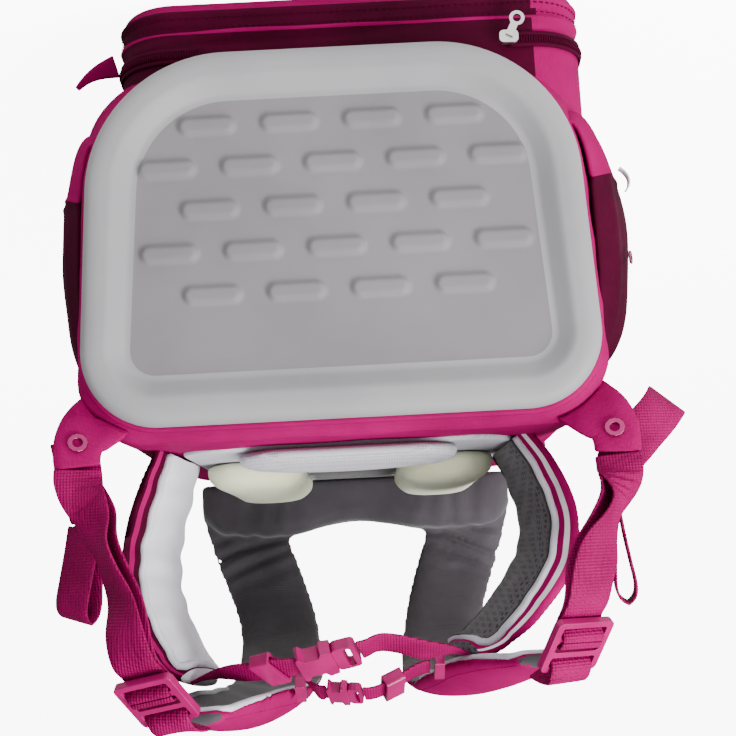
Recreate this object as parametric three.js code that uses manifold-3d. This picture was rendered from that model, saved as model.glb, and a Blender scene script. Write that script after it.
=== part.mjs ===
// A school ransel lying on its front, with its harness standing up.
// Millimetres. +Z points from the floor to the wearer's side, +Y from the base to the top of the bag,
// and +X to the side that the wearer's left arm goes through.
// The pieces are worked out with y = 0 at the foot of the base and x = 0 in its middle, and then moved
// so that the origin is the middle of the front pocket's flat face.
import * as THREE from 'three';
import { mergeVertices } from 'three/addons/utils/BufferGeometryUtils.js';
import Module from 'manifold-3d';

const wasm = await Module();
wasm.setup();

// Driving dimensions of the bag
const BAG_HEIGHT = 400;
const BASE_WIDTH = 292;
const BASE_DEPTH = 209;
const BASE_THICKNESS = 11;
const BASE_RECESS = 8;
const BASE_RIM = 27;
const BASE_FRONT_ROUND = 80;
const BASE_BACK_ROUND = 42;
const PIPING = 5;
const BACK_LIP = 8;
const CLOTH = 2.5;
const GAP = 0.3;

// Pockets
const POCKET_DEPTH = 42;
const POCKET_WIDTH = 273;
const POCKET_LIFT = 10;
const POCKET_HEIGHT = 172;
const POCKET_LEAN = 13;
const POCKET_ROUND = 34;
const ZIP_WIDTH = 9;
const ZIP_THICKNESS = 2.4;
const SIDE_BULGE = 32;
const SIDE_POCKET_HEIGHT = 190;
const SIDE_POCKET_LIFT = 3;
const SIDE_POCKET_WIDTH = 158;

// Lid
const LID_WALL = 7;
const LID_CLEARANCE = 23;
const LID_ROUND = 60;
const LID_FLANGE = 30;

// Back and harness
const BACK_PANEL_THICKNESS = 3;
const BACK_PANEL_WIDTH = 196;
const BACK_PANEL_LENGTH = 322;
const LUMBAR_WIDTH = 130;
const LUMBAR_HEIGHT = 78;
const LUMBAR_THICKNESS = 9;
const BACK_PAD_WIDTH = 62;
const BACK_PAD_LENGTH = 206;
const BACK_PAD_THICKNESS = 18;
const YOKE_SPAN = 244;
const YOKE_RISE = 42;
const YOKE_DEPTH = 40;
const STRAP_WIDTH = 64;
const STRAP_THICKNESS = 13;
const STRAP_REACH = 165;
const WING_WIDTH = 104;
const WING_THICKNESS = 23;
const WING_REACH = 133;

// Webbing and its fittings
const WEBBING = 25;
const WEB_THICKNESS = 1.6;
const BELT_WEBBING = 20;
const CHEST_WEBBING = 16;
const LOCK_WIDTH = 35;
const LOCK_THICKNESS = 4.4;
const LOCK_BAR = 3.5;
const LOCK_SLOT = 6.2;
const EYELET = 11;
const EYELET_THICKNESS = 1.4;
const EYELET_SHARE = 0.68;

// Places that follow from the sizes above
const FRONT_Z = POCKET_DEPTH;
const BASE_BACK_Z = FRONT_Z + BASE_DEPTH;
const BACK_Z = BASE_BACK_Z + BACK_LIP;
const PANEL_Z = BACK_Z + GAP + BACK_PANEL_THICKNESS;
const HALF = BASE_WIDTH / 2;
const LID_SEAT = (LID_WALL + GAP) / POCKET_DEPTH;

const COLOURS = {
  magenta: [0xd8087e, 0.78, 0],
  deepMagenta: [0xa8065c, 0.8, 0],
  foam: [0xa9a8ab, 0.72, 0],
  lining: [0x45404a, 0.9, 0],
  mesh: [0x2c2a2f, 0.95, 0],
  paleGrey: [0xc9c8d2, 0.85, 0],
  palePad: [0xdfe2c0, 0.88, 0],
  plastic: [0xd81888, 0.4, 0],
  steel: [0xc8c8cc, 0.28, 1],
};

const group = new THREE.Group();

function addPiece(name, geometry, finish) {
  const [color, roughness, metalness] = COLOURS[finish];
  const piece = new THREE.Mesh(geometry, new THREE.MeshStandardMaterial({ color, roughness, metalness }));
  piece.name = name;
  group.add(piece);
  return piece;
}

// Skins: rings of points, each ring closed round, joined one to the next

function isInsideOut(positions, faces) {
  const a = new THREE.Vector3();
  const b = new THREE.Vector3();
  const c = new THREE.Vector3();
  let volume = 0;
  for (let i = 0; i < faces.length; i += 3) {
    a.fromArray(positions, faces[i] * 3);
    b.fromArray(positions, faces[i + 1] * 3);
    c.fromArray(positions, faces[i + 2] * 3);
    volume += a.dot(b.cross(c));
  }
  return volume < 0;
}

function fanCap(positions, faces, first, ring, forward) {
  const middle = ring.reduce((sum, p) => sum.add(p), new THREE.Vector3()).divideScalar(ring.length);
  const hub = positions.length / 3;
  positions.push(middle.x, middle.y, middle.z);
  for (let k = 0; k < ring.length; k += 1) {
    const next = (k + 1) % ring.length;
    faces.push(hub, first + (forward ? k : next), first + (forward ? next : k));
  }
}

function ladderCap(faces, first, count, forward) {
  for (let k = 0; k < count / 2 - 1; k += 1) {
    const quad = [first + k, first + k + 1, first + count - 2 - k, first + count - 1 - k];
    if (!forward) quad.reverse();
    faces.push(quad[0], quad[1], quad[2], quad[0], quad[2], quad[3]);
  }
}

// cap is fan for a round ring, ladder for a strip folded over on itself, loop for none
function skin(rings, cap = 'fan') {
  const count = rings[0].length;
  const positions = rings.flat().flatMap((p) => [p.x, p.y, p.z]);
  const faces = [];
  const spans = cap === 'loop' ? rings.length : rings.length - 1;
  for (let r = 0; r < spans; r += 1) {
    const here = r * count;
    const there = ((r + 1) % rings.length) * count;
    for (let k = 0; k < count; k += 1) {
      const next = (k + 1) % count;
      faces.push(here + k, here + next, there + next, here + k, there + next, there + k);
    }
  }
  const last = (rings.length - 1) * count;
  if (cap === 'fan') {
    fanCap(positions, faces, 0, rings[0], false);
    fanCap(positions, faces, last, rings[rings.length - 1], true);
  }
  if (cap === 'ladder') {
    ladderCap(faces, 0, count, false);
    ladderCap(faces, last, count, true);
  }
  if (isInsideOut(positions, faces)) faces.reverse();
  const geometry = new THREE.BufferGeometry();
  geometry.setAttribute('position', new THREE.Float32BufferAttribute(positions, 3));
  geometry.setIndex(faces);
  geometry.computeVertexNormals();
  return geometry;
}

// Joining and cutting

function toSolid(geometry) {
  const bare = geometry.clone();
  bare.deleteAttribute('normal');
  bare.deleteAttribute('uv');
  const merged = mergeVertices(bare, 1e-4);
  const vertProperties = new Float32Array(merged.attributes.position.array);
  const triVerts = new Uint32Array(merged.index.array);
  return new wasm.Manifold(new wasm.Mesh({ numProp: 3, vertProperties, triVerts }));
}

function toGeometry(solid) {
  const mesh = solid.getMesh();
  const geometry = new THREE.BufferGeometry();
  geometry.setAttribute('position', new THREE.Float32BufferAttribute(mesh.vertProperties, 3));
  geometry.setIndex(Array.from(mesh.triVerts));
  geometry.computeVertexNormals();
  return geometry;
}

// What is left of a piece outside its neighbours; the slivers that a cut leaves inside a wall are dropped
function cutBy(geometry, ...cutters) {
  const whole = cutters.reduce((solid, cutter) => solid.subtract(toSolid(cutter)), toSolid(geometry));
  const bodies = whole.decompose();
  bodies.sort((a, b) => b.volume() - a.volume());
  return toGeometry(bodies[0]);
}

// Outlines: a loop of corners, each rounded by an arc, as pairs of lengths

function roundedLoop(corners, arcSteps = 5, edgeSteps = 2) {
  const arcs = corners.map((corner, i) => {
    const before = corners[(i + corners.length - 1) % corners.length];
    const after = corners[(i + 1) % corners.length];
    const here = new THREE.Vector2(corner.u, corner.v);
    const back = new THREE.Vector2(before.u, before.v).sub(here).normalize();
    const ahead = new THREE.Vector2(after.u, after.v).sub(here).normalize();
    const half = Math.acos(THREE.MathUtils.clamp(back.dot(ahead), -1, 1)) / 2;
    const middle = back.clone().add(ahead).normalize();
    const centre = here.clone().addScaledVector(middle, corner.round / Math.sin(half));
    const from = here.clone().addScaledVector(back, corner.round / Math.tan(half)).sub(centre);
    const to = here.clone().addScaledVector(ahead, corner.round / Math.tan(half)).sub(centre);
    const turn = Math.atan2(from.cross(to), from.dot(to));
    return Array.from({ length: arcSteps + 1 }, (_, k) =>
      from.clone().rotateAround(new THREE.Vector2(), (turn * k) / arcSteps).add(centre));
  });
  return arcs.flatMap((arc, i) => {
    const start = arc[arc.length - 1];
    const end = arcs[(i + 1) % arcs.length][0];
    const edge = Array.from({ length: edgeSteps - 1 }, (_, k) =>
      start.clone().lerp(end, (k + 1) / edgeSteps));
    return [...arc, ...edge];
  });
}

function rectangle(halfU, halfV, round) {
  return [
    { u: halfU, v: -halfV, round },
    { u: halfU, v: halfV, round },
    { u: -halfU, v: halfV, round },
    { u: -halfU, v: -halfV, round },
  ];
}

// Splines through rows of named numbers. Rows of a band, which have a width direction, may lie
// unevenly, so their slopes allow for the lengths between them

function span(from, to) {
  return from.wx === undefined ? 1 : Math.hypot(to.x - from.x, to.y - from.y, to.z - from.z);
}

// The slope of one named number at a row, times the length to the next row
function slopeAt(rows, index, name, length) {
  const here = rows[index];
  const before = rows[Math.max(index - 1, 0)];
  const after = rows[Math.min(index + 1, rows.length - 1)];
  const come = span(before, here);
  const leave = span(here, after);
  if (before === here) return ((after[name] - here[name]) / leave) * length * (here.wx === undefined ? 0.5 : 1);
  if (after === here) return ((here[name] - before[name]) / come) * length * (here.wx === undefined ? 0.5 : 1);
  const slope = ((here[name] - before[name]) / come) * leave + ((after[name] - here[name]) / leave) * come;
  return (slope / (come + leave)) * length;
}

function rowAt(rows, t) {
  const place = t * (rows.length - 1);
  const index = Math.min(Math.floor(place), rows.length - 2);
  const share = place - index;
  const names = Object.keys(rows[0]);
  const from = rows[index];
  const to = rows[index + 1];
  const length = span(from, to);
  const result = {};
  for (const name of names) {
    const slopeFrom = slopeAt(rows, index, name, length);
    const slopeTo = slopeAt(rows, index + 1, name, length);
    const rise = to[name] - from[name];
    result[name] = from[name] + share * (slopeFrom
      + share * (3 * rise - 2 * slopeFrom - slopeTo
        + share * (slopeFrom + slopeTo - 2 * rise)));
  }
  return result;
}

const ACROSS_X = new THREE.Vector3(1, 0, 0);
const ACROSS_Y = new THREE.Vector3(0, 1, 0);

// Rows hold x, y, z of the middle line. The width lies along wx, wy, wz where a row has them,
// or else along the given direction, and turn, in degrees, turns it about the middle line.
// sectionOf gives the ring of one row as pairs: across the width, and out of the face.
function sweep(rows, steps, across, sectionOf, cap = 'ladder') {
  const rings = [];
  const reach = 0.5 / steps;
  const stops = cap === 'loop' ? steps : steps + 1;
  for (let s = 0; s < stops; s += 1) {
    const t = s / steps;
    const row = rowAt(rows, t);
    const a = rowAt(rows, Math.max(t - reach, 0));
    const b = rowAt(rows, Math.min(t + reach, 1));
    const along = new THREE.Vector3(b.x - a.x, b.y - a.y, b.z - a.z).normalize();
    const lay = row.wx === undefined ? across : new THREE.Vector3(row.wx, row.wy, row.wz);
    const wide = lay.clone().addScaledVector(along, -lay.dot(along)).normalize();
    wide.applyAxisAngle(along, THREE.MathUtils.degToRad(row.turn ?? 0));
    const out = wide.clone().cross(along);
    const middle = new THREE.Vector3(row.x, row.y, row.z);
    rings.push(sectionOf(row).map(([u, v]) =>
      middle.clone().addScaledVector(wide, u).addScaledVector(out, v)));
  }
  return skin(rings, cap);
}

function webSection(width, thickness = WEB_THICKNESS) {
  const u = width / 2;
  const v = thickness / 2;
  return [[-u, v], [u, v], [u, -v], [-u, -v]];
}

const PAD_POINTS = 7;

// A padded section: crown above the middle line, belly below it, and sag, which bends the whole width
function padSection(width, crown, belly, sag = 0) {
  const shares = Array.from({ length: PAD_POINTS }, (_, k) => -Math.cos((Math.PI * k) / (PAD_POINTS - 1)));
  const edge = 0.16;
  const rise = (s) => edge + (1 - edge) * (1 - s ** 4);
  const over = shares.map((s) => [(s * width) / 2, crown * rise(s) - sag * s * s]);
  const under = shares.map((s) => [(s * width) / 2, -belly * rise(s) - sag * s * s]);
  return [...over, ...under.reverse()];
}

// The base tray, and the piping round its seam

function baseCorners(inset) {
  const front = FRONT_Z + inset;
  const back = BASE_BACK_Z - inset;
  const halfFront = BASE_WIDTH * 0.466 - inset;
  const halfBack = BASE_WIDTH * 0.5 - inset;
  const roundFront = BASE_FRONT_ROUND - inset;
  const roundBack = BASE_BACK_ROUND - inset;
  return [
    { u: halfFront, v: front, round: roundFront },
    { u: halfBack, v: back, round: roundBack },
    { u: -halfBack, v: back, round: roundBack },
    { u: -halfFront, v: front, round: roundFront },
  ];
}

// inset is a share of the rim's width, sink a share of the tray's thickness from the crest of the rim
const TRAY_ROWS = [
  { inset: 0.05, sink: 1 },
  { inset: 0, sink: 0.74 },
  { inset: 0.03, sink: 0.4 },
  { inset: 0.13, sink: 0.12 },
  { inset: 0.28, sink: 0 },
  { inset: 0.46, sink: 0 },
  { inset: 0.6, sink: 0.09 },
  { inset: 0.8, sink: 0.48 },
  { inset: 0.92, sink: 0.68 },
];
const LAND_INSET = ((0.28 + 0.46) / 2) * BASE_RIM;

const PLINTH_Y = BASE_THICKNESS + PIPING + 2 * GAP;
const PLINTH_INSET = PIPING / 2;

function trayRing(inset, y) {
  return roundedLoop(baseCorners(inset), 7, 2).map((p) => new THREE.Vector3(p.x, y, p.y));
}

function baseTray() {
  const plinth = [trayRing(PLINTH_INSET, PLINTH_Y), trayRing(PLINTH_INSET, BASE_THICKNESS)];
  const rim = TRAY_ROWS.map(({ inset, sink }) => trayRing(inset * BASE_RIM, sink * BASE_THICKNESS));
  return skin([...plinth, ...rim, trayRing(BASE_RIM, BASE_RECESS)]);
}

const PIPING_Y = BASE_THICKNESS + GAP + PIPING / 2;

function basePiping() {
  const centre = roundedLoop(baseCorners(PLINTH_INSET - GAP - PIPING / 2), 7, 2);
  const rings = centre.map((p, i) => {
    const before = centre[(i + centre.length - 1) % centre.length];
    const after = centre[(i + 1) % centre.length];
    const out = new THREE.Vector2(after.y - before.y, before.x - after.x).normalize();
    return Array.from({ length: 6 }, (_, k) => {
      const angle = (Math.PI * k) / 3;
      const reach = (PIPING / 2) * Math.cos(angle);
      const y = PIPING_Y + (PIPING / 2) * Math.sin(angle);
      return new THREE.Vector3(p.x + out.x * reach, y, p.y + out.y * reach);
    });
  });
  return skin(rings, 'loop');
}

// The body: climb is a share of the bag's height, front of the pocket's depth, lip of the back lip,
// the halves of the base's width, and the rounds of the base's corner rounds
const TOP_HALF = 0.504;
const POCKET_TOP = PLINTH_Y + GAP + POCKET_LIFT + POCKET_HEIGHT;
const LID_FLAP_FOOT = POCKET_TOP + LID_CLEARANCE;
const STEP_FROM = (POCKET_TOP + 2 * ZIP_THICKNESS + 1) / BAG_HEIGHT;
const STEP_TO = (LID_FLAP_FOOT + LID_WALL) / BAG_HEIGHT;
const BODY_ROWS = [
  { climb: 0.055, front: 0.98, lip: 1, halfFront: 0.475, halfBack: 0.51, roundFront: 0.95, roundBack: 0.95 },
  { climb: 0.1, front: 1, lip: 1, halfFront: 0.483, halfBack: 0.512, roundFront: 0.6, roundBack: 0.9 },
  { climb: 0.17, front: 1, lip: 1, halfFront: 0.486, halfBack: 0.512, roundFront: 0.45, roundBack: 0.88 },
  { climb: STEP_FROM, front: 1, lip: 1, halfFront: 0.484, halfBack: 0.508, roundFront: 0.45, roundBack: 0.85 },
  { climb: STEP_TO, front: LID_SEAT, lip: 1, halfFront: 0.482, halfBack: 0.506, roundFront: 0.42, roundBack: 0.8 },
  { climb: 0.825, front: LID_SEAT, lip: 1, halfFront: 0.478, halfBack: TOP_HALF, roundFront: 0.4, roundBack: 0.78 },
  { climb: 0.9, front: 0.48, lip: 0.9, halfFront: 0.472, halfBack: 0.498, roundFront: 0.4, roundBack: 0.75 },
  { climb: 0.955, front: 0.9, lip: 0.6, halfFront: 0.462, halfBack: 0.488, roundFront: 0.4, roundBack: 0.7 },
];

function bodyRing(row, grow, y) {
  const front = row.front * POCKET_DEPTH - grow;
  const back = BASE_BACK_Z + row.lip * BACK_LIP + grow;
  const halfFront = row.halfFront * BASE_WIDTH + grow;
  const halfBack = row.halfBack * BASE_WIDTH + grow;
  const roundFront = row.roundFront * BASE_FRONT_ROUND + grow;
  const roundBack = row.roundBack * BASE_BACK_ROUND + grow;
  const corners = [
    { u: halfFront, v: front, round: roundFront },
    { u: halfBack, v: back, round: roundBack },
    { u: -halfBack, v: back, round: roundBack },
    { u: -halfFront, v: front, round: roundFront },
  ];
  return roundedLoop(corners, 5, 2).map((p) => new THREE.Vector3(p.x, y, p.y));
}

const BODY_TOP = BODY_ROWS[BODY_ROWS.length - 1].climb * BAG_HEIGHT;
const BODY_FOOT = PLINTH_Y + GAP;
const SEAM_ROUND = CLOTH;

function bodyShell() {
  const outer = BODY_ROWS.map((row) => bodyRing(row, 0, row.climb * BAG_HEIGHT));
  const inner = BODY_ROWS.slice(1).map((row) => bodyRing(row, -CLOTH, row.climb * BAG_HEIGHT));
  const seam = bodyRing(BODY_ROWS[0], -SEAM_ROUND, BODY_FOOT);
  const floor = bodyRing(BODY_ROWS[0], -SEAM_ROUND - CLOTH, BODY_FOOT + CLOTH);
  return skin([seam, ...outer, ...inner.reverse(), floor]);
}

// The space that the closed body takes, grown by a clearance, which trims what is sewn onto it
function bodyPlug(grow) {
  const outer = BODY_ROWS.map((row) => bodyRing(row, grow, row.climb * BAG_HEIGHT));
  const seam = bodyRing(BODY_ROWS[0], grow - SEAM_ROUND, BODY_FOOT - grow);
  const top = bodyRing(BODY_ROWS[BODY_ROWS.length - 1], grow, BODY_TOP + grow);
  return skin([seam, ...outer, top]);
}

const plug = bodyPlug(GAP);

// The front pocket: an open dish against the body. out is a share of the wall's thickness,
// lift a share of the pocket's depth from its flat face
const POCKET_MIDDLE = BODY_FOOT + POCKET_LIFT + POCKET_HEIGHT / 2;
const POCKET_REACH = POCKET_DEPTH + BASE_FRONT_ROUND * 0.6;

function pocketRing(inset, z) {
  const corners = rectangle(POCKET_WIDTH / 2 - inset, POCKET_HEIGHT / 2 - inset, POCKET_ROUND - inset);
  return roundedLoop(corners, 5, 2)
    .map((p) => new THREE.Vector3(p.x - POCKET_LEAN, p.y + POCKET_MIDDLE, z));
}

const POCKET_ROWS = [
  { inset: 0.26, lift: 0 },
  { inset: 0.09, lift: 0.06 },
  { inset: 0.01, lift: 0.24 },
  { inset: 0, lift: 0.5 },
  { inset: 0, lift: 0.92 },
];

function frontPocket() {
  const outer = POCKET_ROWS.map(({ inset, lift }) =>
    pocketRing(inset * POCKET_DEPTH, lift * POCKET_DEPTH));
  const mouth = [pocketRing(0, POCKET_REACH), pocketRing(CLOTH, POCKET_REACH)];
  const inner = POCKET_ROWS.slice(1).map(({ inset, lift }) =>
    pocketRing(inset * POCKET_DEPTH + CLOTH, lift * POCKET_DEPTH + CLOTH * 0.5));
  const bed = pocketRing(0.26 * POCKET_DEPTH, CLOTH);
  return cutBy(skin([...outer, ...mouth, ...inner.reverse(), bed]), plug);
}

function pocketPlug(grow) {
  const outer = POCKET_ROWS.map(({ inset, lift }) =>
    pocketRing(inset * POCKET_DEPTH - grow, lift * POCKET_DEPTH));
  return skin([...outer, pocketRing(-grow, POCKET_REACH + grow)]);
}

// The zip runs round the pocket's wall, from one side of its foot to the slider on the other side.
// Its places count the points of the wall's loop
const ZIP_Z = POCKET_DEPTH * 0.84;
const ZIP_FROM = -0.15;
const ZIP_TO = 26.11;

// A place on the pocket's wall at the height of the zip, and out from the cloth
function pocketWall(place, out) {
  const loop = pocketRing(-out, ZIP_Z);
  const index = Math.floor(place);
  const from = loop[(index + loop.length) % loop.length];
  const to = loop[(index + 1) % loop.length];
  return from.clone().lerp(to, place - index);
}

function pocketZip() {
  const corners = Array.from({ length: Math.floor(ZIP_TO) + 1 }, (_, k) => k);
  const rings = [ZIP_FROM, ...corners, ZIP_TO].map((place) => {
    const inner = pocketWall(place, GAP);
    const outer = pocketWall(place, GAP + ZIP_THICKNESS);
    const lift = new THREE.Vector3(0, 0, ZIP_WIDTH / 2);
    return [
      inner.clone().sub(lift),
      outer.clone().sub(lift),
      outer.clone().add(lift),
      inner.clone().add(lift),
    ];
  });
  return skin(rings, 'ladder');
}

// The side pockets: bulge and width shares of the largest ones, climb from the pocket's foot to its hem
const SIDE_ROWS = [
  { climb: 0, bulge: 0.1, width: 0.8 },
  { climb: 0.05, bulge: 0.5, width: 0.92 },
  { climb: 0.2, bulge: 0.86, width: 0.98 },
  { climb: 0.45, bulge: 1, width: 1 },
  { climb: 0.75, bulge: 0.97, width: 1 },
  { climb: 1, bulge: 0.86, width: 0.98 },
];
const SIDE_SUNK = 9;
const SIDE_MIDDLE_Z = FRONT_Z + BASE_DEPTH * 0.52;
const SIDE_POINTS = 13;

function sidePocketArc(side, bulge, halfWidth, y) {
  return Array.from({ length: SIDE_POINTS }, (_, k) => {
    const angle = (Math.PI * k) / (SIDE_POINTS - 1);
    const out = bulge * Math.sin(angle) ** 0.8;
    const x = side * (HALF - SIDE_SUNK + out);
    return new THREE.Vector3(x, y, SIDE_MIDDLE_Z - halfWidth * Math.cos(angle));
  });
}

// The pocket on the left hangs emptier than the one on the right
const SIDE_FULLNESS = { left: 0.68, right: 1 };

function sidePocket(side, fullness) {
  const rings = SIDE_ROWS.map(({ climb, bulge, width }) => {
    const y = BODY_FOOT + SIDE_POCKET_LIFT + climb * SIDE_POCKET_HEIGHT;
    const out = SIDE_SUNK + bulge * SIDE_BULGE * fullness;
    const half = (width * SIDE_POCKET_WIDTH) / 2;
    const outer = sidePocketArc(side, out, half, y);
    const inner = sidePocketArc(side, out - CLOTH, half - CLOTH, y);
    return [...outer, ...inner.reverse()];
  });
  return cutBy(skin(rings, 'ladder'), plug, pocketPlug(GAP));
}

// The lid: a channel swept from the top of the back, over the top and down the front
const LID_HALF = TOP_HALF * BASE_WIDTH + GAP + 1 + LID_WALL;
const LID_TOP = BAG_HEIGHT;

function lidSection() {
  const corner = LID_WALL * 2;
  const arc = (centreU, centreV, radius, from) =>
    Array.from({ length: 4 }, (_, k) => {
      const angle = from + (Math.PI / 2) * (k / 3);
      return [centreU + radius * Math.cos(angle), centreV + radius * Math.sin(angle)];
    });
  const outer = [
    [LID_HALF, -LID_FLANGE],
    ...arc(LID_HALF - corner, -corner, corner, 0),
    ...arc(corner - LID_HALF, -corner, corner, Math.PI / 2),
    [-LID_HALF, -LID_FLANGE],
  ];
  const inner = [
    [LID_HALF - LID_WALL, -LID_FLANGE],
    ...arc(LID_HALF - corner, -corner, corner - LID_WALL, 0),
    ...arc(corner - LID_HALF, -corner, corner - LID_WALL, Math.PI / 2),
    [LID_WALL - LID_HALF, -LID_FLANGE],
  ];
  return [...outer, ...inner.reverse()];
}

function lid() {
  const rows = [
    { x: 0, y: LID_TOP - LID_WALL * 0.8, z: BACK_Z - BACK_LIP },
    { x: 0, y: LID_TOP, z: BACK_Z * 0.66 },
    { x: 0, y: LID_TOP, z: BACK_Z * 0.42 },
  ];
  for (let k = 0; k <= 5; k += 1) {
    const angle = (Math.PI / 2) * (k / 5);
    const y = LID_TOP - LID_ROUND + LID_ROUND * Math.cos(angle);
    rows.push({ x: 0, y, z: LID_ROUND - LID_ROUND * Math.sin(angle) });
  }
  rows.push({ x: 0, y: (LID_TOP - LID_ROUND + LID_FLAP_FOOT) / 2, z: 0 });
  rows.push({ x: 0, y: LID_FLAP_FOOT, z: 0 });
  const section = lidSection();
  return cutBy(sweep(rows, rows.length - 1, ACROSS_X, () => section), plug);
}

// Pads: a closed cushion on the plane z = foot. inset is a share of the thickness, lift too
const CUSHION_ROWS = [
  { inset: 0.1, lift: 0 },
  { inset: 0, lift: 0.3 },
  { inset: 0.2, lift: 0.72 },
  { inset: 0.65, lift: 0.95 },
  { inset: 1.3, lift: 1 },
];

function cushion({ x, y, width, length, round, foot, thickness }) {
  const rings = CUSHION_ROWS.map(({ inset, lift }) => {
    const shrink = inset * thickness;
    const corners = rectangle(width / 2 - shrink, length / 2 - shrink, Math.max(round - shrink, 1));
    return roundedLoop(corners, 4, 2)
      .map((p) => new THREE.Vector3(p.x + x, p.y + y, foot + lift * thickness));
  });
  return skin(rings);
}

// The yoke: a collar between the roots of the straps. side is a share of half its span,
// top of its rise, depth of its depth
const YOKE_ROWS = [
  { side: -1, top: 0.6, depth: 0.7 },
  { side: -0.9, top: 0.92, depth: 0.96 },
  { side: -0.7, top: 1, depth: 1 },
  { side: -0.42, top: 1, depth: 1 },
  { side: -0.2, top: 0.86, depth: 0.92 },
  { side: 0, top: 0.8, depth: 0.9 },
  { side: 0.2, top: 0.86, depth: 0.92 },
  { side: 0.42, top: 1, depth: 1 },
  { side: 0.7, top: 1, depth: 1 },
  { side: 0.9, top: 0.92, depth: 0.96 },
  { side: 1, top: 0.6, depth: 0.7 },
];
const YOKE_Y = BAG_HEIGHT * 0.918;
const YOKE_FOOT = PANEL_Z + GAP;

function yoke(grow) {
  const rings = YOKE_ROWS.map(({ side, top, depth }) => {
    const x = side * (YOKE_SPAN / 2 + grow);
    const height = top * YOKE_RISE + grow;
    const half = (depth * YOKE_DEPTH) / 2 + grow;
    const foot = YOKE_FOOT - grow;
    const round = Math.min(height, half) * 0.62;
    const corners = [
      { u: YOKE_Y + half, v: foot, round: round * 0.3 },
      { u: YOKE_Y + half, v: YOKE_FOOT + height, round },
      { u: YOKE_Y - half, v: YOKE_FOOT + height, round },
      { u: YOKE_Y - half, v: foot, round: round * 0.3 },
    ];
    return roundedLoop(corners, 3, 1).map((p) => new THREE.Vector3(x, p.x, p.y));
  });
  return skin(rings);
}

// Shoulder straps. climb is a share of the bag's height, rise of the straps' reach above the back,
// side of half the base's width, wide and thick of the strap's own sizes, sag of its thickness
const STRAP_ROWS = [
  { climb: 0.93, rise: 0.24, side: 0.62, wide: 0.96, thick: 1, sag: 0 },
  { climb: 0.93, rise: 0.36, side: 0.58, wide: 0.95, thick: 1, sag: 0 },
  { climb: 0.91, rise: 0.52, side: 0.51, wide: 0.94, thick: 1, sag: 0.1 },
  { climb: 0.865, rise: 0.68, side: 0.45, wide: 0.94, thick: 1, sag: 0.2 },
  { climb: 0.785, rise: 0.83, side: 0.42, wide: 0.96, thick: 1, sag: 0.35 },
  { climb: 0.67, rise: 0.93, side: 0.41, wide: 0.98, thick: 1, sag: 0.6 },
  { climb: 0.54, rise: 0.98, side: 0.43, wide: 1, thick: 1, sag: 0.85 },
  { climb: 0.4, rise: 1, side: 0.465, wide: 1.04, thick: 1, sag: 1.1 },
  { climb: 0.275, rise: 1, side: 0.5, wide: 1.05, thick: 1, sag: 1.25 },
  { climb: 0.165, rise: 0.98, side: 0.545, wide: 0.88, thick: 0.9, sag: 0.9 },
  { climb: 0.095, rise: 0.955, side: 0.575, wide: 0.6, thick: 0.75, sag: 0.4 },
  { climb: 0.05, rise: 0.94, side: 0.59, wide: 0.42, thick: 0.6, sag: 0.1 },
];

// How far each strap's tip is drawn aside and down by its webbing, as shares of the strap's width
const STRAP_PULL = {
  left: { side: 1, out: 0, drop: 0.12, sag: 1 },
  right: { side: -1, out: 0.2, drop: 0.45, sag: 0.35 },
};

function strapRow(row, pull) {
  const near = THREE.MathUtils.smoothstep(1 - row.climb, 0.3, 0.85);
  return {
    x: pull.side * (row.side * HALF + near * pull.out * STRAP_WIDTH),
    y: row.climb * BAG_HEIGHT,
    z: BACK_Z + row.rise * STRAP_REACH - near * pull.drop * STRAP_WIDTH,
    wide: row.wide * STRAP_WIDTH,
    thick: row.thick * STRAP_THICKNESS,
    sag: row.sag * pull.sag * STRAP_THICKNESS,
    turn: 0,
  };
}

function strapTip(pull) {
  return strapRow(STRAP_ROWS[STRAP_ROWS.length - 1], pull);
}

function strapSkin(pull, grow) {
  const rows = STRAP_ROWS.map((row) => strapRow(row, pull));
  return sweep(rows, 18, ACROSS_X, (row) => {
    const half = row.thick / 2 + grow;
    return padSection(row.wide + 2 * grow, half, half, -row.sag);
  });
}

function shoulderStrap(pull) {
  return cutBy(strapSkin(pull, 0), yoke(GAP));
}

// Hip wings. rise is a share of the wings' reach above the back, side of half the base's width,
// climb of the wing's width along the bag, wide and thick of the wing's own sizes
const WING_MIDDLE_Y = BAG_HEIGHT * 0.27;
const WING_ROWS = {
  left: [
    { rise: -0.02, side: 0.74, climb: 0, wide: 0.94, thick: 0.7, turn: 3 },
    { rise: 0.14, side: 0.8, climb: 0, wide: 1, thick: 0.95, turn: 3 },
    { rise: 0.38, side: 0.865, climb: -0.01, wide: 1, thick: 1, turn: 4 },
    { rise: 0.6, side: 0.87, climb: -0.03, wide: 0.97, thick: 1, turn: 4 },
    { rise: 0.8, side: 0.805, climb: -0.08, wide: 0.88, thick: 0.9, turn: 4 },
    { rise: 0.94, side: 0.72, climb: -0.15, wide: 0.7, thick: 0.75, turn: 4 },
    { rise: 1, side: 0.65, climb: -0.2, wide: 0.42, thick: 0.5, turn: 4 },
  ],
  right: [
    { rise: -0.02, side: 0.69, climb: 0, wide: 0.94, thick: 0.7, turn: -3 },
    { rise: 0.14, side: 0.785, climb: 0, wide: 1, thick: 0.95, turn: -4 },
    { rise: 0.36, side: 0.85, climb: -0.01, wide: 1, thick: 1.1, turn: -5 },
    { rise: 0.58, side: 0.815, climb: -0.03, wide: 0.97, thick: 1.1, turn: -5 },
    { rise: 0.78, side: 0.67, climb: -0.08, wide: 0.88, thick: 0.95, turn: -5 },
    { rise: 0.9, side: 0.53, climb: -0.16, wide: 0.66, thick: 0.7, turn: -5 },
    { rise: 0.94, side: 0.42, climb: -0.23, wide: 0.38, thick: 0.45, turn: -5 },
  ],
};
const WING_SIDE = { left: 1, right: -1 };

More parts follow.
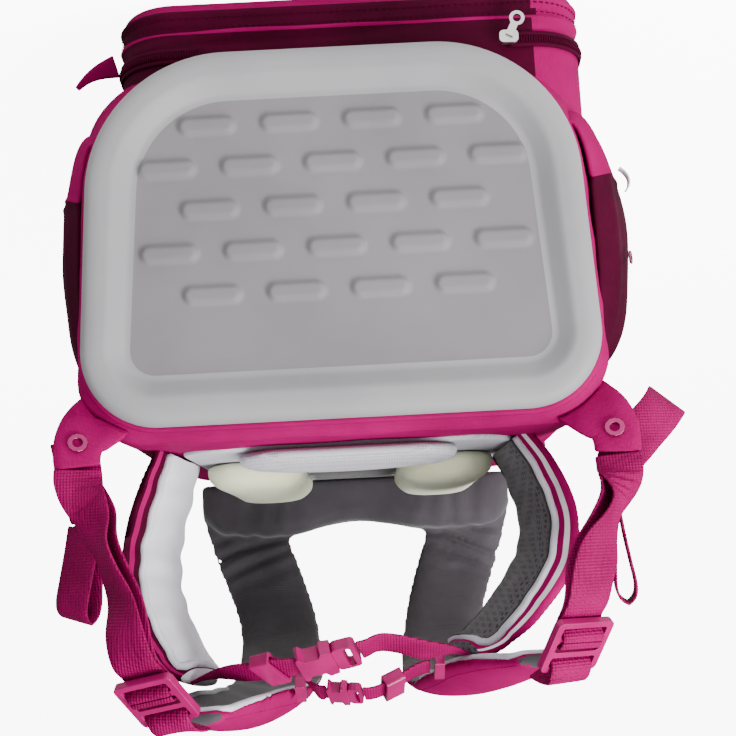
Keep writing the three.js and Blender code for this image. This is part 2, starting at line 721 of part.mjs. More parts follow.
function wingRow(row, side) {
  return {
    x: side * row.side * HALF,
    y: WING_MIDDLE_Y + row.climb * WING_WIDTH,
    z: BACK_Z + row.rise * WING_REACH,
    wide: row.wide * WING_WIDTH,
    thick: row.thick * WING_THICKNESS,
    turn: row.turn,
  };
}

function wingTip(hand) {
  const rows = WING_ROWS[hand];
  return wingRow(rows[rows.length - 1], WING_SIDE[hand]);
}

const backPanelAt = {
  x: 0,
  y: BAG_HEIGHT * 0.54,
  width: BACK_PANEL_WIDTH,
  length: BACK_PANEL_LENGTH,
  round: 30,
};

function backPanel(grow) {
  const { x, y, width, length, round } = backPanelAt;
  const rings = [
    { inset: 1, z: BACK_Z + GAP - grow },
    { inset: 0, z: BACK_Z + GAP + BACK_PANEL_THICKNESS * 0.4 },
    { inset: BACK_PANEL_THICKNESS * 0.5, z: PANEL_Z + grow },
  ].map(({ inset, z }) => {
    const corners = rectangle(width / 2 - inset + grow, length / 2 - inset + grow, round);
    return roundedLoop(corners, 5, 2).map((p) => new THREE.Vector3(p.x + x, p.y + y, z));
  });
  return skin(rings);
}

function hipWing(hand) {
  const side = WING_SIDE[hand];
  const rows = WING_ROWS[hand].map((row) => wingRow(row, side));
  const wing = sweep(rows, 12, ACROSS_Y, (row) => {
    const domed = row.thick * 0.72;
    const flat = row.thick * 0.28;
    return side > 0 ? padSection(row.wide, flat, domed) : padSection(row.wide, domed, flat);
  });
  return cutBy(wing, plug, backPanel(GAP), strapSkin(STRAP_PULL[hand], 3 * GAP));
}

// Fittings are made flat about their own middle: x across the webbing, y along it, z out of its face

function frameAt(middle, along, across) {
  const y = along.clone().normalize();
  const x = across.clone().addScaledVector(y, -across.dot(y)).normalize();
  const z = x.clone().cross(y);
  return new THREE.Matrix4().makeBasis(x, y, z).setPosition(middle);
}

function slottedPlate(width, length, thickness, slots) {
  const outline = new THREE.Shape(roundedLoop(rectangle(width / 2, length / 2, Math.min(3, length / 3)), 3, 1));
  for (const slot of slots) {
    const hole = roundedLoop(rectangle(slot.width / 2, slot.length / 2, 1), 1, 1)
      .map((p) => new THREE.Vector2(p.x, p.y + slot.at));
    outline.holes.push(new THREE.Path(hole));
  }
  const plate = new THREE.ExtrudeGeometry(outline, { depth: thickness, bevelEnabled: false });
  plate.translate(0, 0, -thickness / 2);
  return plate;
}

// Corner tabs: cloth arms from the back corners of the base to the lower webbings
const TAB_LENGTH = 38;
const TAB_ROOT_WIDTH = 34;
const TAB_THICKNESS = 3;
const TAB_ROOT = {
  left: new THREE.Vector3(HALF * 0.885, BODY_FOOT + 6, BACK_Z - BACK_LIP * 2.4),
  right: new THREE.Vector3(-HALF * 0.885, BODY_FOOT + 6, BACK_Z - BACK_LIP * 1.6),
};
const TAB_WAY = {
  left: new THREE.Vector3(0.4, -0.42, 0.81).normalize(),
  right: new THREE.Vector3(-0.42, -0.4, 0.81).normalize(),
};
const TAB_ROWS = [
  { away: 0, wide: 1, bow: 0, hump: 0 },
  { away: 0.35, wide: 0.98, bow: 1, hump: 0.8 },
  { away: 0.7, wide: 0.8, bow: 0.8, hump: 1 },
  { away: 1, wide: 0.72, bow: 0, hump: 0 },
];
const TAB_BOW = 3;
const TAB_HUMP = 5.5;

// Across a tab at its root; its hump leans the same way
function tabAcross(hand) {
  const across = new THREE.Vector3(WING_SIDE[hand] * 0.9, 0, -0.42);
  return across.addScaledVector(TAB_WAY[hand], -across.dot(TAB_WAY[hand])).normalize();
}

// The hump turns the end of the tab towards its webbing
function tabEndWay(hand) {
  const last = TAB_ROWS[TAB_ROWS.length - 2];
  return TAB_WAY[hand].clone().multiplyScalar((1 - last.away) * TAB_LENGTH)
    .addScaledVector(tabAcross(hand), -last.hump * TAB_HUMP).normalize();
}

function tabEnd(hand, past = 0) {
  return TAB_ROOT[hand].clone()
    .addScaledVector(TAB_WAY[hand], TAB_LENGTH)
    .addScaledVector(tabEndWay(hand), past);
}

function cornerTab(hand, grow = 0) {
  const across = tabAcross(hand);
  const rows = TAB_ROWS.map(({ away, wide, bow, hump }) => {
    const p = TAB_ROOT[hand].clone()
      .addScaledVector(TAB_WAY[hand], away * TAB_LENGTH)
      .addScaledVector(across, hump * TAB_HUMP);
    return { x: p.x, y: p.y - bow * TAB_BOW, z: p.z, wide: wide * TAB_ROOT_WIDTH };
  });
  const tab = sweep(rows, 6, across, (row) =>
    webSection(row.wide + 2 * grow, TAB_THICKNESS + 2 * grow));
  return grow > 0 ? tab : cutBy(tab, plug, lowerWebbing(hand, GAP));
}

function tabEyelet(hand) {
  const across = tabAcross(hand);
  const middle = TAB_ROOT[hand].clone()
    .addScaledVector(TAB_WAY[hand], TAB_LENGTH * EYELET_SHARE)
    .addScaledVector(across, TAB_HUMP);
  middle.y -= TAB_BOW;
  const out = across.clone().cross(TAB_WAY[hand]);
  if (out.y > 0) out.negate();
  middle.addScaledVector(out, TAB_THICKNESS / 2 + GAP + EYELET_THICKNESS / 2);
  const profile = [
    [EYELET / 2, -EYELET_THICKNESS / 2],
    [EYELET / 2, EYELET_THICKNESS / 2],
    [EYELET / 4, EYELET_THICKNESS / 2],
    [EYELET / 4, -EYELET_THICKNESS / 2],
    [EYELET / 2, -EYELET_THICKNESS / 2],
  ].map(([r, h]) => new THREE.Vector2(r, h));
  const ring = new THREE.LatheGeometry(profile, 12);
  ring.rotateX(Math.PI / 2);
  return { ring, matrix: frameAt(middle, TAB_WAY[hand], across) };
}

// Ladder-locks: three slots between four bars
const LOCK_LENGTH = LOCK_BAR * 4 + LOCK_SLOT * 3;
const LOCK_PITCH = LOCK_BAR + LOCK_SLOT;
const LOCK_OVER = LOCK_THICKNESS / 2 + GAP + WEB_THICKNESS / 2 + 0.4;
const LOCK_AT = {
  left: new THREE.Vector3(HALF * 0.705, -8, BACK_Z + STRAP_REACH * 0.812),
  right: new THREE.Vector3(-HALF * 0.775, -6, BACK_Z + STRAP_REACH * 0.71),
};
const LOCK_ALONG = {
  left: new THREE.Vector3(-0.4, 0.6, 0.66).normalize(),
  right: new THREE.Vector3(0.3, 0.55, 0.75).normalize(),
};
const LOCK_ACROSS = {
  left: new THREE.Vector3(0.75, 0.5, 0.3),
  right: new THREE.Vector3(1, -0.6, -0.1),
};
const LOCK_FRAME = {
  left: frameAt(LOCK_AT.left, LOCK_ALONG.left, LOCK_ACROSS.left),
  right: frameAt(LOCK_AT.right, LOCK_ALONG.right, LOCK_ACROSS.right),
};

function ladderLock() {
  const slots = [-1, 0, 1].map((k) => ({ at: k * LOCK_PITCH, width: WEBBING + 2, length: LOCK_SLOT }));
  return slottedPlate(LOCK_WIDTH, LOCK_LENGTH, LOCK_THICKNESS, slots);
}

// How far a webbing starts from a padded tip, and the straight length of its end at a fitting
const TIP_CLEARANCE = 4.1;
const LEAD = 8;

// A row of a band: a place, and the direction of its width there
function bandRow(place, width) {
  return { x: place.x, y: place.y, z: place.z, wx: width.x, wy: width.y, wz: width.z };
}

function lockRow(hand, along, out) {
  const place = new THREE.Vector3(0, along, out).applyMatrix4(LOCK_FRAME[hand]);
  const width = new THREE.Vector3(1, 0, 0).transformDirection(LOCK_FRAME[hand]);
  return bandRow(place, width);
}

// A place between two others: along is the share of the way, aside and out are shares of its length,
// towards the side of the bag and away from the base
function between(from, to, hand, { along, aside, out }) {
  const length = from.distanceTo(to);
  const place = from.clone().lerp(to, along);
  place.x += WING_SIDE[hand] * aside * length;
  place.y += out * length;
  return place;
}

function band(rows, steps, width, thickness = WEB_THICKNESS) {
  return sweep(rows, steps, ACROSS_X, () => webSection(width, thickness));
}

// The lower webbings turn over once on their way from the tab to the ladder-lock.
// face, edge and lean say how much of the width lies along x, y and z
const LOWER_ROWS = {
  left: [
    { along: 0.27, aside: -0.015, out: 0.01, face: 0.75, edge: 0.5, lean: -0.35 },
    { along: 0.42, aside: -0.01, out: 0.02, face: 0.5, edge: 0.8, lean: -0.2 },
    { along: 0.57, aside: -0.02, out: 0.03, face: 0.5, edge: 0.85, lean: 0 },
    { along: 0.72, aside: -0.035, out: 0.03, face: 0.62, edge: 0.75, lean: 0.15 },
    { along: 0.87, aside: -0.02, out: 0.015, face: 0.8, edge: 0.5, lean: 0.25 },
  ],
  right: [
    { along: 0.24, aside: 0.05, out: 0, face: 0.65, edge: -0.6, lean: 0.3 },
    { along: 0.38, aside: 0.055, out: 0, face: 0.4, edge: -0.9, lean: 0.2 },
    { along: 0.52, aside: 0.04, out: 0, face: 0.5, edge: -0.85, lean: 0.1 },
    { along: 0.68, aside: 0.005, out: 0, face: 0.8, edge: -0.6, lean: 0 },
    { along: 0.86, aside: -0.02, out: 0, face: 0.9, edge: -0.45, lean: 0 },
  ],
};

function lockEntry(hand) {
  const { x, y, z } = lockRow(hand, -LOCK_LENGTH, -LOCK_OVER);
  return new THREE.Vector3(x, y, z);
}

function webbingStart(hand) {
  return tabEnd(hand, WEB_THICKNESS);
}

// The rows of a lower webbing before it reaches its ladder-lock
function lowerRows(hand) {
  const from = webbingStart(hand);
  const to = lockEntry(hand);
  const width = tabAcross(hand).multiplyScalar(WING_SIDE[hand]);
  const middle = LOWER_ROWS[hand].map((row) =>
    bandRow(between(from, to, hand, row), new THREE.Vector3(row.face, row.edge, row.lean)));
  return [bandRow(from, width), bandRow(tabEnd(hand, LEAD), width), ...middle];
}

function lowerWebbing(hand, grow = 0) {
  return band([
    ...lowerRows(hand),
    lockRow(hand, -LOCK_LENGTH * 0.75, -LOCK_OVER),
    lockRow(hand, -LOCK_PITCH - LOCK_SLOT * 0.4, -LOCK_OVER),
    lockRow(hand, -LOCK_PITCH, 0),
    lockRow(hand, -LOCK_PITCH + LOCK_SLOT * 0.4, LOCK_OVER),
    lockRow(hand, -LOCK_PITCH * 0.56, LOCK_OVER),
  ], 33, WEBBING + 2 * grow, WEB_THICKNESS + 2 * grow);
}

// The tails run back behind the webbings, fold over by the tabs and end in pull loops
const TAIL_BEHIND = { left: WEB_THICKNESS * 3.6, right: WEB_THICKNESS * 4.4 };
const FOLD_ROWS = {
  left: [
    { along: -0.14, aside: 0.005, out: 0.115, face: 0.9, edge: 0.1, lean: -0.4, flat: true },
    { along: -0.2, aside: 0.01, out: 0.135, face: 0.9, edge: 0.1, lean: -0.4, flat: true },
    { along: -0.14, aside: 0.02, out: 0.17, face: 0.9, edge: 0.1, lean: -0.4, flat: true },
    { along: 0.06, aside: 0.03, out: 0.18, face: 0.85, edge: 0.3, lean: -0.35 },
    { along: 0.26, aside: 0.05, out: 0.2, face: 0.75, edge: 0.5, lean: -0.2 },
  ],
  right: [
    { along: -0.08, aside: 0.08, out: 0.09, face: 0.85, edge: -0.1, lean: 0 },
    { along: -0.2, aside: 0.17, out: 0.1, face: 0.85, edge: -0.2, lean: -0.3 },
    { along: -0.36, aside: 0.27, out: 0.12, face: 0.8, edge: -0.25, lean: -0.45 },
    { along: -0.45, aside: 0.31, out: 0.19, face: 0.8, edge: -0.25, lean: -0.45 },
    { along: -0.36, aside: 0.28, out: 0.26, face: 0.8, edge: -0.25, lean: -0.45 },
    { along: -0.12, aside: 0.19, out: 0.3, face: 0.7, edge: -0.5, lean: -0.35 },
    { along: 0.12, aside: 0.12, out: 0.33, face: 0.4, edge: -0.85, lean: -0.1 },
    { along: 0.34, aside: 0.09, out: 0.34, face: 0.15, edge: -0.98, lean: 0.05 },
  ],
};

function foldRows(hand) {
  const from = webbingStart(hand);
  const to = lockEntry(hand);
  const way = to.clone().sub(from).normalize();
  return FOLD_ROWS[hand].map((row) => {
    const width = new THREE.Vector3(row.face, row.edge, row.lean);
    if (row.flat) width.addScaledVector(way, -width.dot(way));
    return bandRow(between(from, to, hand, row), width);
  });
}

// The same rows moved along their own normals
function beside(rows, distance) {
  return rows.map((row, i) => {
    const a = rows[Math.max(i - 1, 0)];
    const b = rows[Math.min(i + 1, rows.length - 1)];
    const along = new THREE.Vector3(b.x - a.x, b.y - a.y, b.z - a.z);
    const width = new THREE.Vector3(row.wx, row.wy, row.wz);
    const out = width.clone().cross(along).normalize().multiplyScalar(distance);
    return bandRow(new THREE.Vector3(row.x + out.x, row.y + out.y, row.z + out.z), width);
  });
}

function webbingTail(hand) {
  const behind = LOCK_OVER + WEB_THICKNESS + 4 * GAP;
  const middle = beside(lowerRows(hand), -TAIL_BEHIND[hand]).reverse();
  const tail = band([
    lockRow(hand, -LOCK_PITCH * 0.48, LOCK_OVER),
    lockRow(hand, -LOCK_SLOT * 0.2, LOCK_OVER),
    lockRow(hand, 0, 0),
    lockRow(hand, -LOCK_SLOT * 0.2, -LOCK_OVER),
    lockRow(hand, -LOCK_PITCH * 0.9, -behind),
    lockRow(hand, -LOCK_LENGTH * 0.75, -behind),
    ...middle,
    ...foldRows(hand),
  ], 38, WEBBING);
  return cutBy(tail, lowerWebbing(hand, GAP), cornerTab(hand, GAP));
}

// A pull loop hangs from the end of each tail: a drop-shaped ring of webbing.
// fall is a share of its length, spread of its width
const LOOP_LENGTH = 50;
const LOOP_SPREAD = 9;
const LOOP_DROP = { left: 6, right: 5.4 };
const LOOP_ROWS = [
  { fall: 0, spread: 0.12 },
  { fall: 0.3, spread: 0.22 },
  { fall: 0.65, spread: 0.42 },
  { fall: 0.9, spread: 0.46 },
  { fall: 1, spread: 0 },
  { fall: 0.9, spread: -0.46 },
  { fall: 0.65, spread: -0.42 },
  { fall: 0.3, spread: -0.22 },
  { fall: 0, spread: -0.12 },
];
const LOOP_WAY = {
  left: new THREE.Vector3(-0.15, -0.05, 0.98).normalize(),
  right: new THREE.Vector3(-0.05, -0.05, 0.99).normalize(),
};

function pullLoop(hand) {
  const rows = foldRows(hand);
  const end = rows[rows.length - 1];
  const width = new THREE.Vector3(end.wx, end.wy, end.wz).normalize();
  const way = LOOP_WAY[hand].clone().addScaledVector(width, -width.dot(LOOP_WAY[hand])).normalize();
  const aside = width.clone().cross(way);
  const neck = new THREE.Vector3(end.x, end.y, end.z).addScaledVector(way, LOOP_DROP[hand]);
  return band(LOOP_ROWS.map(({ fall, spread }) => {
    const place = neck.clone()
      .addScaledVector(way, fall * LOOP_LENGTH)
      .addScaledVector(aside, spread * LOOP_SPREAD + Math.sign(spread) * (WEB_THICKNESS / 2));
    return bandRow(place, width);
  }), 16, WEBBING * 0.96);
}

// The anchors tie the ladder-locks to the tips of the shoulder straps, folded round the last bar
const ANCHOR_START = 9;

function strapAnchor(hand) {
  const tip = strapTip(STRAP_PULL[hand]);
  const start = new THREE.Vector3(tip.x, tip.y - ANCHOR_START, tip.z + WEB_THICKNESS);
  return band([
    bandRow(start, ACROSS_X),
    lockRow(hand, LOCK_PITCH * 2, LOCK_OVER * 1.3),
    lockRow(hand, LOCK_PITCH + LOCK_SLOT * 0.4, LOCK_OVER),
    lockRow(hand, LOCK_PITCH, 0),
    lockRow(hand, LOCK_PITCH + LOCK_SLOT * 0.4, -LOCK_OVER),
    lockRow(hand, LOCK_PITCH * 1.5, -LOCK_OVER),
  ], 20, WEBBING);
}

// Hip belt: webbing from the tip of each wing to a fastened side-release buckle.
// side is a share of half the base's width, climb of the bag's height, rise of the wings' reach
const BELT_ROWS = {
  left: [
    { side: 0.463, climb: 0.165, rise: 0.962 },
    { side: 0.37, climb: 0.153, rise: 0.957 },
    { side: 0.31, climb: 0.143, rise: 0.945 },
  ],
  right: [
    { side: -0.27, climb: 0.155, rise: 0.91 },
    { side: -0.17, climb: 0.14, rise: 0.875 },
    { side: -0.075, climb: 0.13, rise: 0.86 },
  ],
};
const BUCKLE_LENGTH = 34;
const BUCKLE_WIDTH = BELT_WEBBING + 8;
const BUCKLE_THICKNESS = 9;
const BUCKLE_AT = new THREE.Vector3(HALF * 0.113, BAG_HEIGHT * 0.13, BACK_Z + WING_REACH * 0.912);
const BUCKLE_WAY = new THREE.Vector3(-1, -0.1, -0.2).normalize();
const BELT_TILT = new THREE.Vector3(0, 0.86, 0.5);

function buckleEnd(middle, way, share, length) {
  return middle.clone().addScaledVector(way, share * length);
}

// Rows of a strap between the two halves of the harness; reach is what its rise is a share of
function crossRows(rows, reach, tilt) {
  return rows.map(({ side, climb, rise }) =>
    bandRow(new THREE.Vector3(side * HALF, climb * BAG_HEIGHT, BACK_Z + rise * reach), tilt));
}

function beltLine(hand) {
  const tip = wingTip(hand);
  const rows = crossRows(BELT_ROWS[hand], WING_REACH, BELT_TILT);
  const root = new THREE.Vector3(tip.x, tip.y, tip.z);
  root.addScaledVector(new THREE.Vector3(rows[0].x, rows[0].y, rows[0].z).sub(root).normalize(), TIP_CLEARANCE);
  const share = WING_SIDE[hand] * -0.5;
  const before = buckleEnd(BUCKLE_AT, BUCKLE_WAY, share, BUCKLE_LENGTH + LEAD);
  const end = buckleEnd(BUCKLE_AT, BUCKLE_WAY, share, BUCKLE_LENGTH + 6 * GAP);
  return [bandRow(root, ACROSS_Y), ...rows, bandRow(before, BELT_TILT), bandRow(end, BELT_TILT)];
}

// The socket of a buckle, with the two windows that its prongs are pressed through
function buckleSocket(width, length, thickness) {
  const windows = { from: 0.12, to: 0.62, deep: 0.16 };
  const outline = new THREE.Shape();
  outline.moveTo(-width * 0.36, -length / 2);
  outline.lineTo(width * 0.36, -length / 2);
  outline.quadraticCurveTo(width / 2, -length / 2, width / 2, length * (windows.from - 0.5));
  outline.lineTo(width * (0.5 - windows.deep), length * (windows.from - 0.4));
  outline.lineTo(width * (0.5 - windows.deep), length * (windows.to - 0.5));
  outline.lineTo(width / 2, length * (windows.to - 0.4));
  outline.lineTo(width * 0.46, length / 2);
  outline.lineTo(-width * 0.46, length / 2);
  outline.lineTo(-width / 2, length * (windows.to - 0.4));
  outline.lineTo(-width * (0.5 - windows.deep), length * (windows.to - 0.5));
  outline.lineTo(-width * (0.5 - windows.deep), length * (windows.from - 0.4));
  outline.lineTo(-width / 2, length * (windows.from - 0.5));
  outline.quadraticCurveTo(-width / 2, -length / 2, -width * 0.36, -length / 2);
  const block = new THREE.ExtrudeGeometry(outline, { depth: thickness, bevelEnabled: false, curveSegments: 3 });
  block.translate(0, 0, -thickness / 2);
  return block;
}

const SOCKET_SHARE = 0.6;

function addBuckle(name, middle, way, across, width, length, thickness) {
  const socketLength = length * SOCKET_SHARE - GAP / 2;
  const plugLength = length * (1 - SOCKET_SHARE) - GAP / 2;
  const socketAt = buckleEnd(middle, way, -(1 - SOCKET_SHARE) / 2, length);
  const plugAt = buckleEnd(middle, way, SOCKET_SHARE / 2, length);
  addPiece(`${name}_socket`, buckleSocket(width, socketLength, thickness), 'plastic')
    .applyMatrix4(frameAt(socketAt, way, across));
  const slot = { at: plugLength * 0.12, width: width - 7, length: plugLength * 0.3 };
  addPiece(`${name}_plug`, slottedPlate(width * 0.92, plugLength, thickness * 0.7, [slot]), 'plastic')
    .applyMatrix4(frameAt(plugAt, way, across));
}

// An adjuster: a flat tube round a webbing, along it at a share of its rows
const ADJUSTER_LENGTH = 12;
const ADJUSTER_WALL = 2;
const ADJUSTER_CLEARANCE = 1.3;

function addAdjuster(name, rows, share, width) {
  const row = rowAt(rows, share);
  const before = rowAt(rows, share - 0.03);
  const after = rowAt(rows, share + 0.03);
  const along = new THREE.Vector3(after.x - before.x, after.y - before.y, after.z - before.z);
  const half = width / 2 + ADJUSTER_CLEARANCE;
  const open = WEB_THICKNESS / 2 + ADJUSTER_CLEARANCE;
  const outline = new THREE.Shape(roundedLoop(rectangle(half + ADJUSTER_WALL, open + ADJUSTER_WALL, 1.5), 3, 1));
  outline.holes.push(new THREE.Path(roundedLoop(rectangle(half, open, 0.5), 1, 1)));
  const tube = new THREE.ExtrudeGeometry(outline, { depth: ADJUSTER_LENGTH, bevelEnabled: false });
  tube.translate(0, 0, -ADJUSTER_LENGTH / 2);
  tube.rotateX(-Math.PI / 2);
  addPiece(name, tube, 'plastic')
    .applyMatrix4(frameAt(new THREE.Vector3(row.x, row.y, row.z), along, new THREE.Vector3(row.wx, row.wy, row.wz)));
}

// Chest strap: a clip on the inner edge of each shoulder strap, webbing, and a small fastened buckle
const CHEST_CLIMB = 0.25;
const CHEST_AT = new THREE.Vector3(HALF * 0.06, BAG_HEIGHT * 0.225, BACK_Z + STRAP_REACH * 0.875);
const CHEST_WAY = new THREE.Vector3(-1, -0.15, 0.08).normalize();
const CHEST_TILT = new THREE.Vector3(0, 0.88, 0.47);
const CHEST_BUCKLE_LENGTH = 20;
const CHEST_BUCKLE_THICKNESS = 7;
const CHEST_ROWS = {
  left: [],
  right: [{ side: -0.13, climb: 0.222, rise: 0.855 }],
};
const CLIP_OUT = 3.5;
const CLIP_DEPTH = 6;
const CLIP_TO_WEBBING = { left: 4, right: 2.3 };
const CLIP_LENGTH = 22;
const CLIP_THICKNESS = 8;

function strapAt(hand) {
  const rows = STRAP_ROWS.map((row) => strapRow(row, STRAP_PULL[hand]));
  const steps = 60;
  const list = Array.from({ length: steps + 1 }, (_, k) => rowAt(rows, k / steps));
  return list.reduce((best, row) =>
    (Math.abs(row.y - CHEST_CLIMB * BAG_HEIGHT) < Math.abs(best.y - CHEST_CLIMB * BAG_HEIGHT) ? row : best));
}

function chestRoot(hand) {
  const row = strapAt(hand);
  const side = WING_SIDE[hand];
  return new THREE.Vector3(row.x - side * (row.wide / 2), row.y, row.z - row.sag);
}

function chestLine(hand) {
  const side = WING_SIDE[hand];
  const root = chestRoot(hand).addScaledVector(ACROSS_X, -side * (CLIP_OUT + CLIP_DEPTH + CLIP_TO_WEBBING[hand]));
  const after = root.clone().addScaledVector(ACROSS_X, -side * LEAD * 0.4);
  const before = buckleEnd(CHEST_AT, CHEST_WAY, -side * 0.5, CHEST_BUCKLE_LENGTH + LEAD);
  const end = buckleEnd(CHEST_AT, CHEST_WAY, -side * 0.5, CHEST_BUCKLE_LENGTH + 6 * GAP);
  const middle = crossRows(CHEST_ROWS[hand], STRAP_REACH, CHEST_TILT);
  if (middle.length === 0) return [bandRow(root, CHEST_TILT), bandRow(before, CHEST_TILT), bandRow(end, CHEST_TILT)];
  return [
    bandRow(root, CHEST_TILT),
    bandRow(after, CHEST_TILT),
    ...middle,
    bandRow(before, CHEST_TILT),
    bandRow(end, CHEST_TILT),
  ];
}

function addChestClip(hand) {
  const middle = chestRoot(hand).addScaledVector(ACROSS_X, -WING_SIDE[hand] * (CLIP_OUT + CLIP_DEPTH / 2));
  addPiece(`chest_clip_${hand}`, new THREE.BoxGeometry(CLIP_DEPTH, CLIP_LENGTH, CLIP_THICKNESS), 'plastic')
    .applyMatrix4(frameAt(middle, CHEST_TILT, ACROSS_X));
}

// The zip's slider at the foot of the pocket, with its ring puller hanging to the floor
const SLIDER_LENGTH = 11;
const SLIDER_THICKNESS = 4;
const PULLER_LENGTH = 15.5;
const PULLER_RING = 4.4;
const PULLER_THICKNESS = 1.4;
const PULLER_LEAN = 27;

function sliderPlace(out) {
  return pocketWall(ZIP_TO, GAP * 2 + ZIP_THICKNESS + out);
}

function zipSlider() {
  const outline = new THREE.Shape(roundedLoop(rectangle(SLIDER_LENGTH / 2, ZIP_WIDTH * 0.42, 2.5), 3, 1));
  const body = new THREE.ExtrudeGeometry(outline, { depth: SLIDER_THICKNESS, bevelEnabled: false });
  body.rotateX(Math.PI / 2);
  return body;
}

function zipPuller() {
  const outline = new THREE.Shape();
  const neck = PULLER_RING * 0.5;
  outline.moveTo(-neck, 0);
  outline.lineTo(-neck, PULLER_LENGTH - PULLER_RING * 1.86);
  outline.absarc(0, PULLER_LENGTH - PULLER_RING, PULLER_RING, Math.PI * 1.33, -Math.PI / 3, true);
  outline.lineTo(neck, 0);
  const hole = new THREE.Path();
  hole.absarc(0, PULLER_LENGTH - PULLER_RING, PULLER_RING * 0.55, 0, Math.PI * 2, false);
  outline.holes.push(hole);
  return new THREE.ExtrudeGeometry(outline, { depth: PULLER_THICKNESS, bevelEnabled: false, curveSegments: 8 });
}

// A place on the outside of a side pocket: climb is a share of its height, angle goes round its bulge
function sidePlace(side, fullness, climb, angle, out) {
  const index = SIDE_ROWS.findIndex((row) => row.climb >= climb);
  const a = SIDE_ROWS[index - 1];
  const b = SIDE_ROWS[index];
  const share = (climb - a.climb) / (b.climb - a.climb);
  const bulge = THREE.MathUtils.lerp(a.bulge, b.bulge, share) * SIDE_BULGE * fullness + SIDE_SUNK;
  const half = (THREE.MathUtils.lerp(a.width, b.width, share) * SIDE_POCKET_WIDTH) / 2;
  const turn = THREE.MathUtils.degToRad(angle);
  const y = BODY_FOOT + SIDE_POCKET_LIFT + climb * SIDE_POCKET_HEIGHT;
  const x = side * (HALF - SIDE_SUNK + bulge * Math.sin(turn) ** 0.8 + out);
  return new THREE.Vector3(x, y, SIDE_MIDDLE_Z - half * Math.cos(turn));
}

// The drain eyelet of the right side pocket
const DRAIN = { climb: 0.11, angle: 100, radius: 4, thickness: 1.2 };

function drainEyelet() {
  const { climb, angle, radius, thickness } = DRAIN;
  const profile = [
    [radius, -thickness / 2],
    [radius, thickness / 2],
    [radius / 2, thickness / 2],
    [radius / 2, -thickness / 2],
    [radius, -thickness / 2],
  ].map(([r, h]) => new THREE.Vector2(r, h));
  const ring = new THREE.LatheGeometry(profile, 10);
  ring.rotateX(Math.PI / 2);
  const middle = sidePlace(-1, SIDE_FULLNESS.right, climb, angle, GAP + thickness);
  const lower = sidePlace(-1, SIDE_FULLNESS.right, climb - 0.04, angle, 0);
  const upper = sidePlace(-1, SIDE_FULLNESS.right, climb + 0.04, angle, 0);
  return { ring, matrix: frameAt(middle, upper.sub(lower), new THREE.Vector3(0, 0, 1)) };
}

// The small loop on the right side pocket, in a row for each bend: angle round the bulge, out of the cloth
const SMALL_LOOP_CLIMB = 0.21;
const SMALL_LOOP_WIDTH = 6;
const SMALL_LOOP_ROWS = [
  { angle: 54, out: 1 },
  { angle: 56, out: 3 },
  { angle: 60, out: 4.5 },
  { angle: 64, out: 3 },
  { angle: 66, out: 1 },
];

function smallLoop() {
  const rows = SMALL_LOOP_ROWS.map(({ angle, out }) =>
    bandRow(sidePlace(-1, SIDE_FULLNESS.right, SMALL_LOOP_CLIMB, angle, out), ACROSS_Y));
  return sweep(rows, 10, ACROSS_Y, () => webSection(SMALL_LOOP_WIDTH, 1));
}

// The tapered cloth tab between the front pocket and the left side
const SIDE_TAB_ROWS = [
  { reach: 0, rise: 0, wide: 1 },
  { reach: 0.4, rise: 0.2, wide: 0.7 },
  { reach: 0.75, rise: 0.55, wide: 0.4 },
  { reach: 1, rise: 1, wide: 0.2 },
];
const SIDE_TAB_REACH = 24;
const SIDE_TAB_RISE = 13;
const SIDE_TAB_WIDTH = 14;
const SIDE_TAB_THICKNESS = 2;
const SIDE_TAB_Y = BAG_HEIGHT * 0.15;

function sideTab() {
  const foot = POCKET_WIDTH / 2 - POCKET_LEAN + ZIP_THICKNESS + 6 * GAP;
  const rows = SIDE_TAB_ROWS.map(({ reach, rise, wide }) => ({
    x: foot + reach * SIDE_TAB_REACH,
    y: SIDE_TAB_Y,
    z: FRONT_Z * 0.62 + rise * SIDE_TAB_RISE,
    wide: wide * SIDE_TAB_WIDTH,
  }));
  return sweep(rows, 6, new THREE.Vector3(0, 0.6, 0.8), (row) => webSection(row.wide, SIDE_TAB_THICKNESS));
}

// The lid's clasp, between the flap and the pocket, where the floor hides it
const CLASP_WIDTH = 34;
const CLASP_THICKNESS = 9;

function lidClasp() {
  const length = LID_CLEARANCE - 2 * GAP;
  const outline = new THREE.Shape(roundedLoop(rectangle(CLASP_WIDTH / 2, length / 2, 4), 3, 1));
  const body = new THREE.ExtrudeGeometry(outline, { depth: CLASP_THICKNESS, bevelEnabled: false });
  body.translate(0, POCKET_TOP + LID_CLEARANCE / 2, CLOTH);
  return body;
}

// The carrying handle: a loop of webbing sewn to the upper edge of the yoke
const HANDLE_SPAN = 96;
const HANDLE_RISE = 24;
const HANDLE_WIDTH = 18;

function carryHandle() {
  const foot = YOKE_Y + YOKE_DEPTH / 2 + GAP;
  const rows = [-1, -0.96, -0.8, -0.4, 0, 0.4, 0.8, 0.96, 1].map((share) => ({
    x: (share * HANDLE_SPAN) / 2,
    y: foot + HANDLE_RISE * (1 - share ** 4),
    z: YOKE_FOOT + YOKE_RISE * 0.45,
  }));
  return sweep(rows, 12, new THREE.Vector3(0, 0, 1), () => webSection(HANDLE_WIDTH));
}

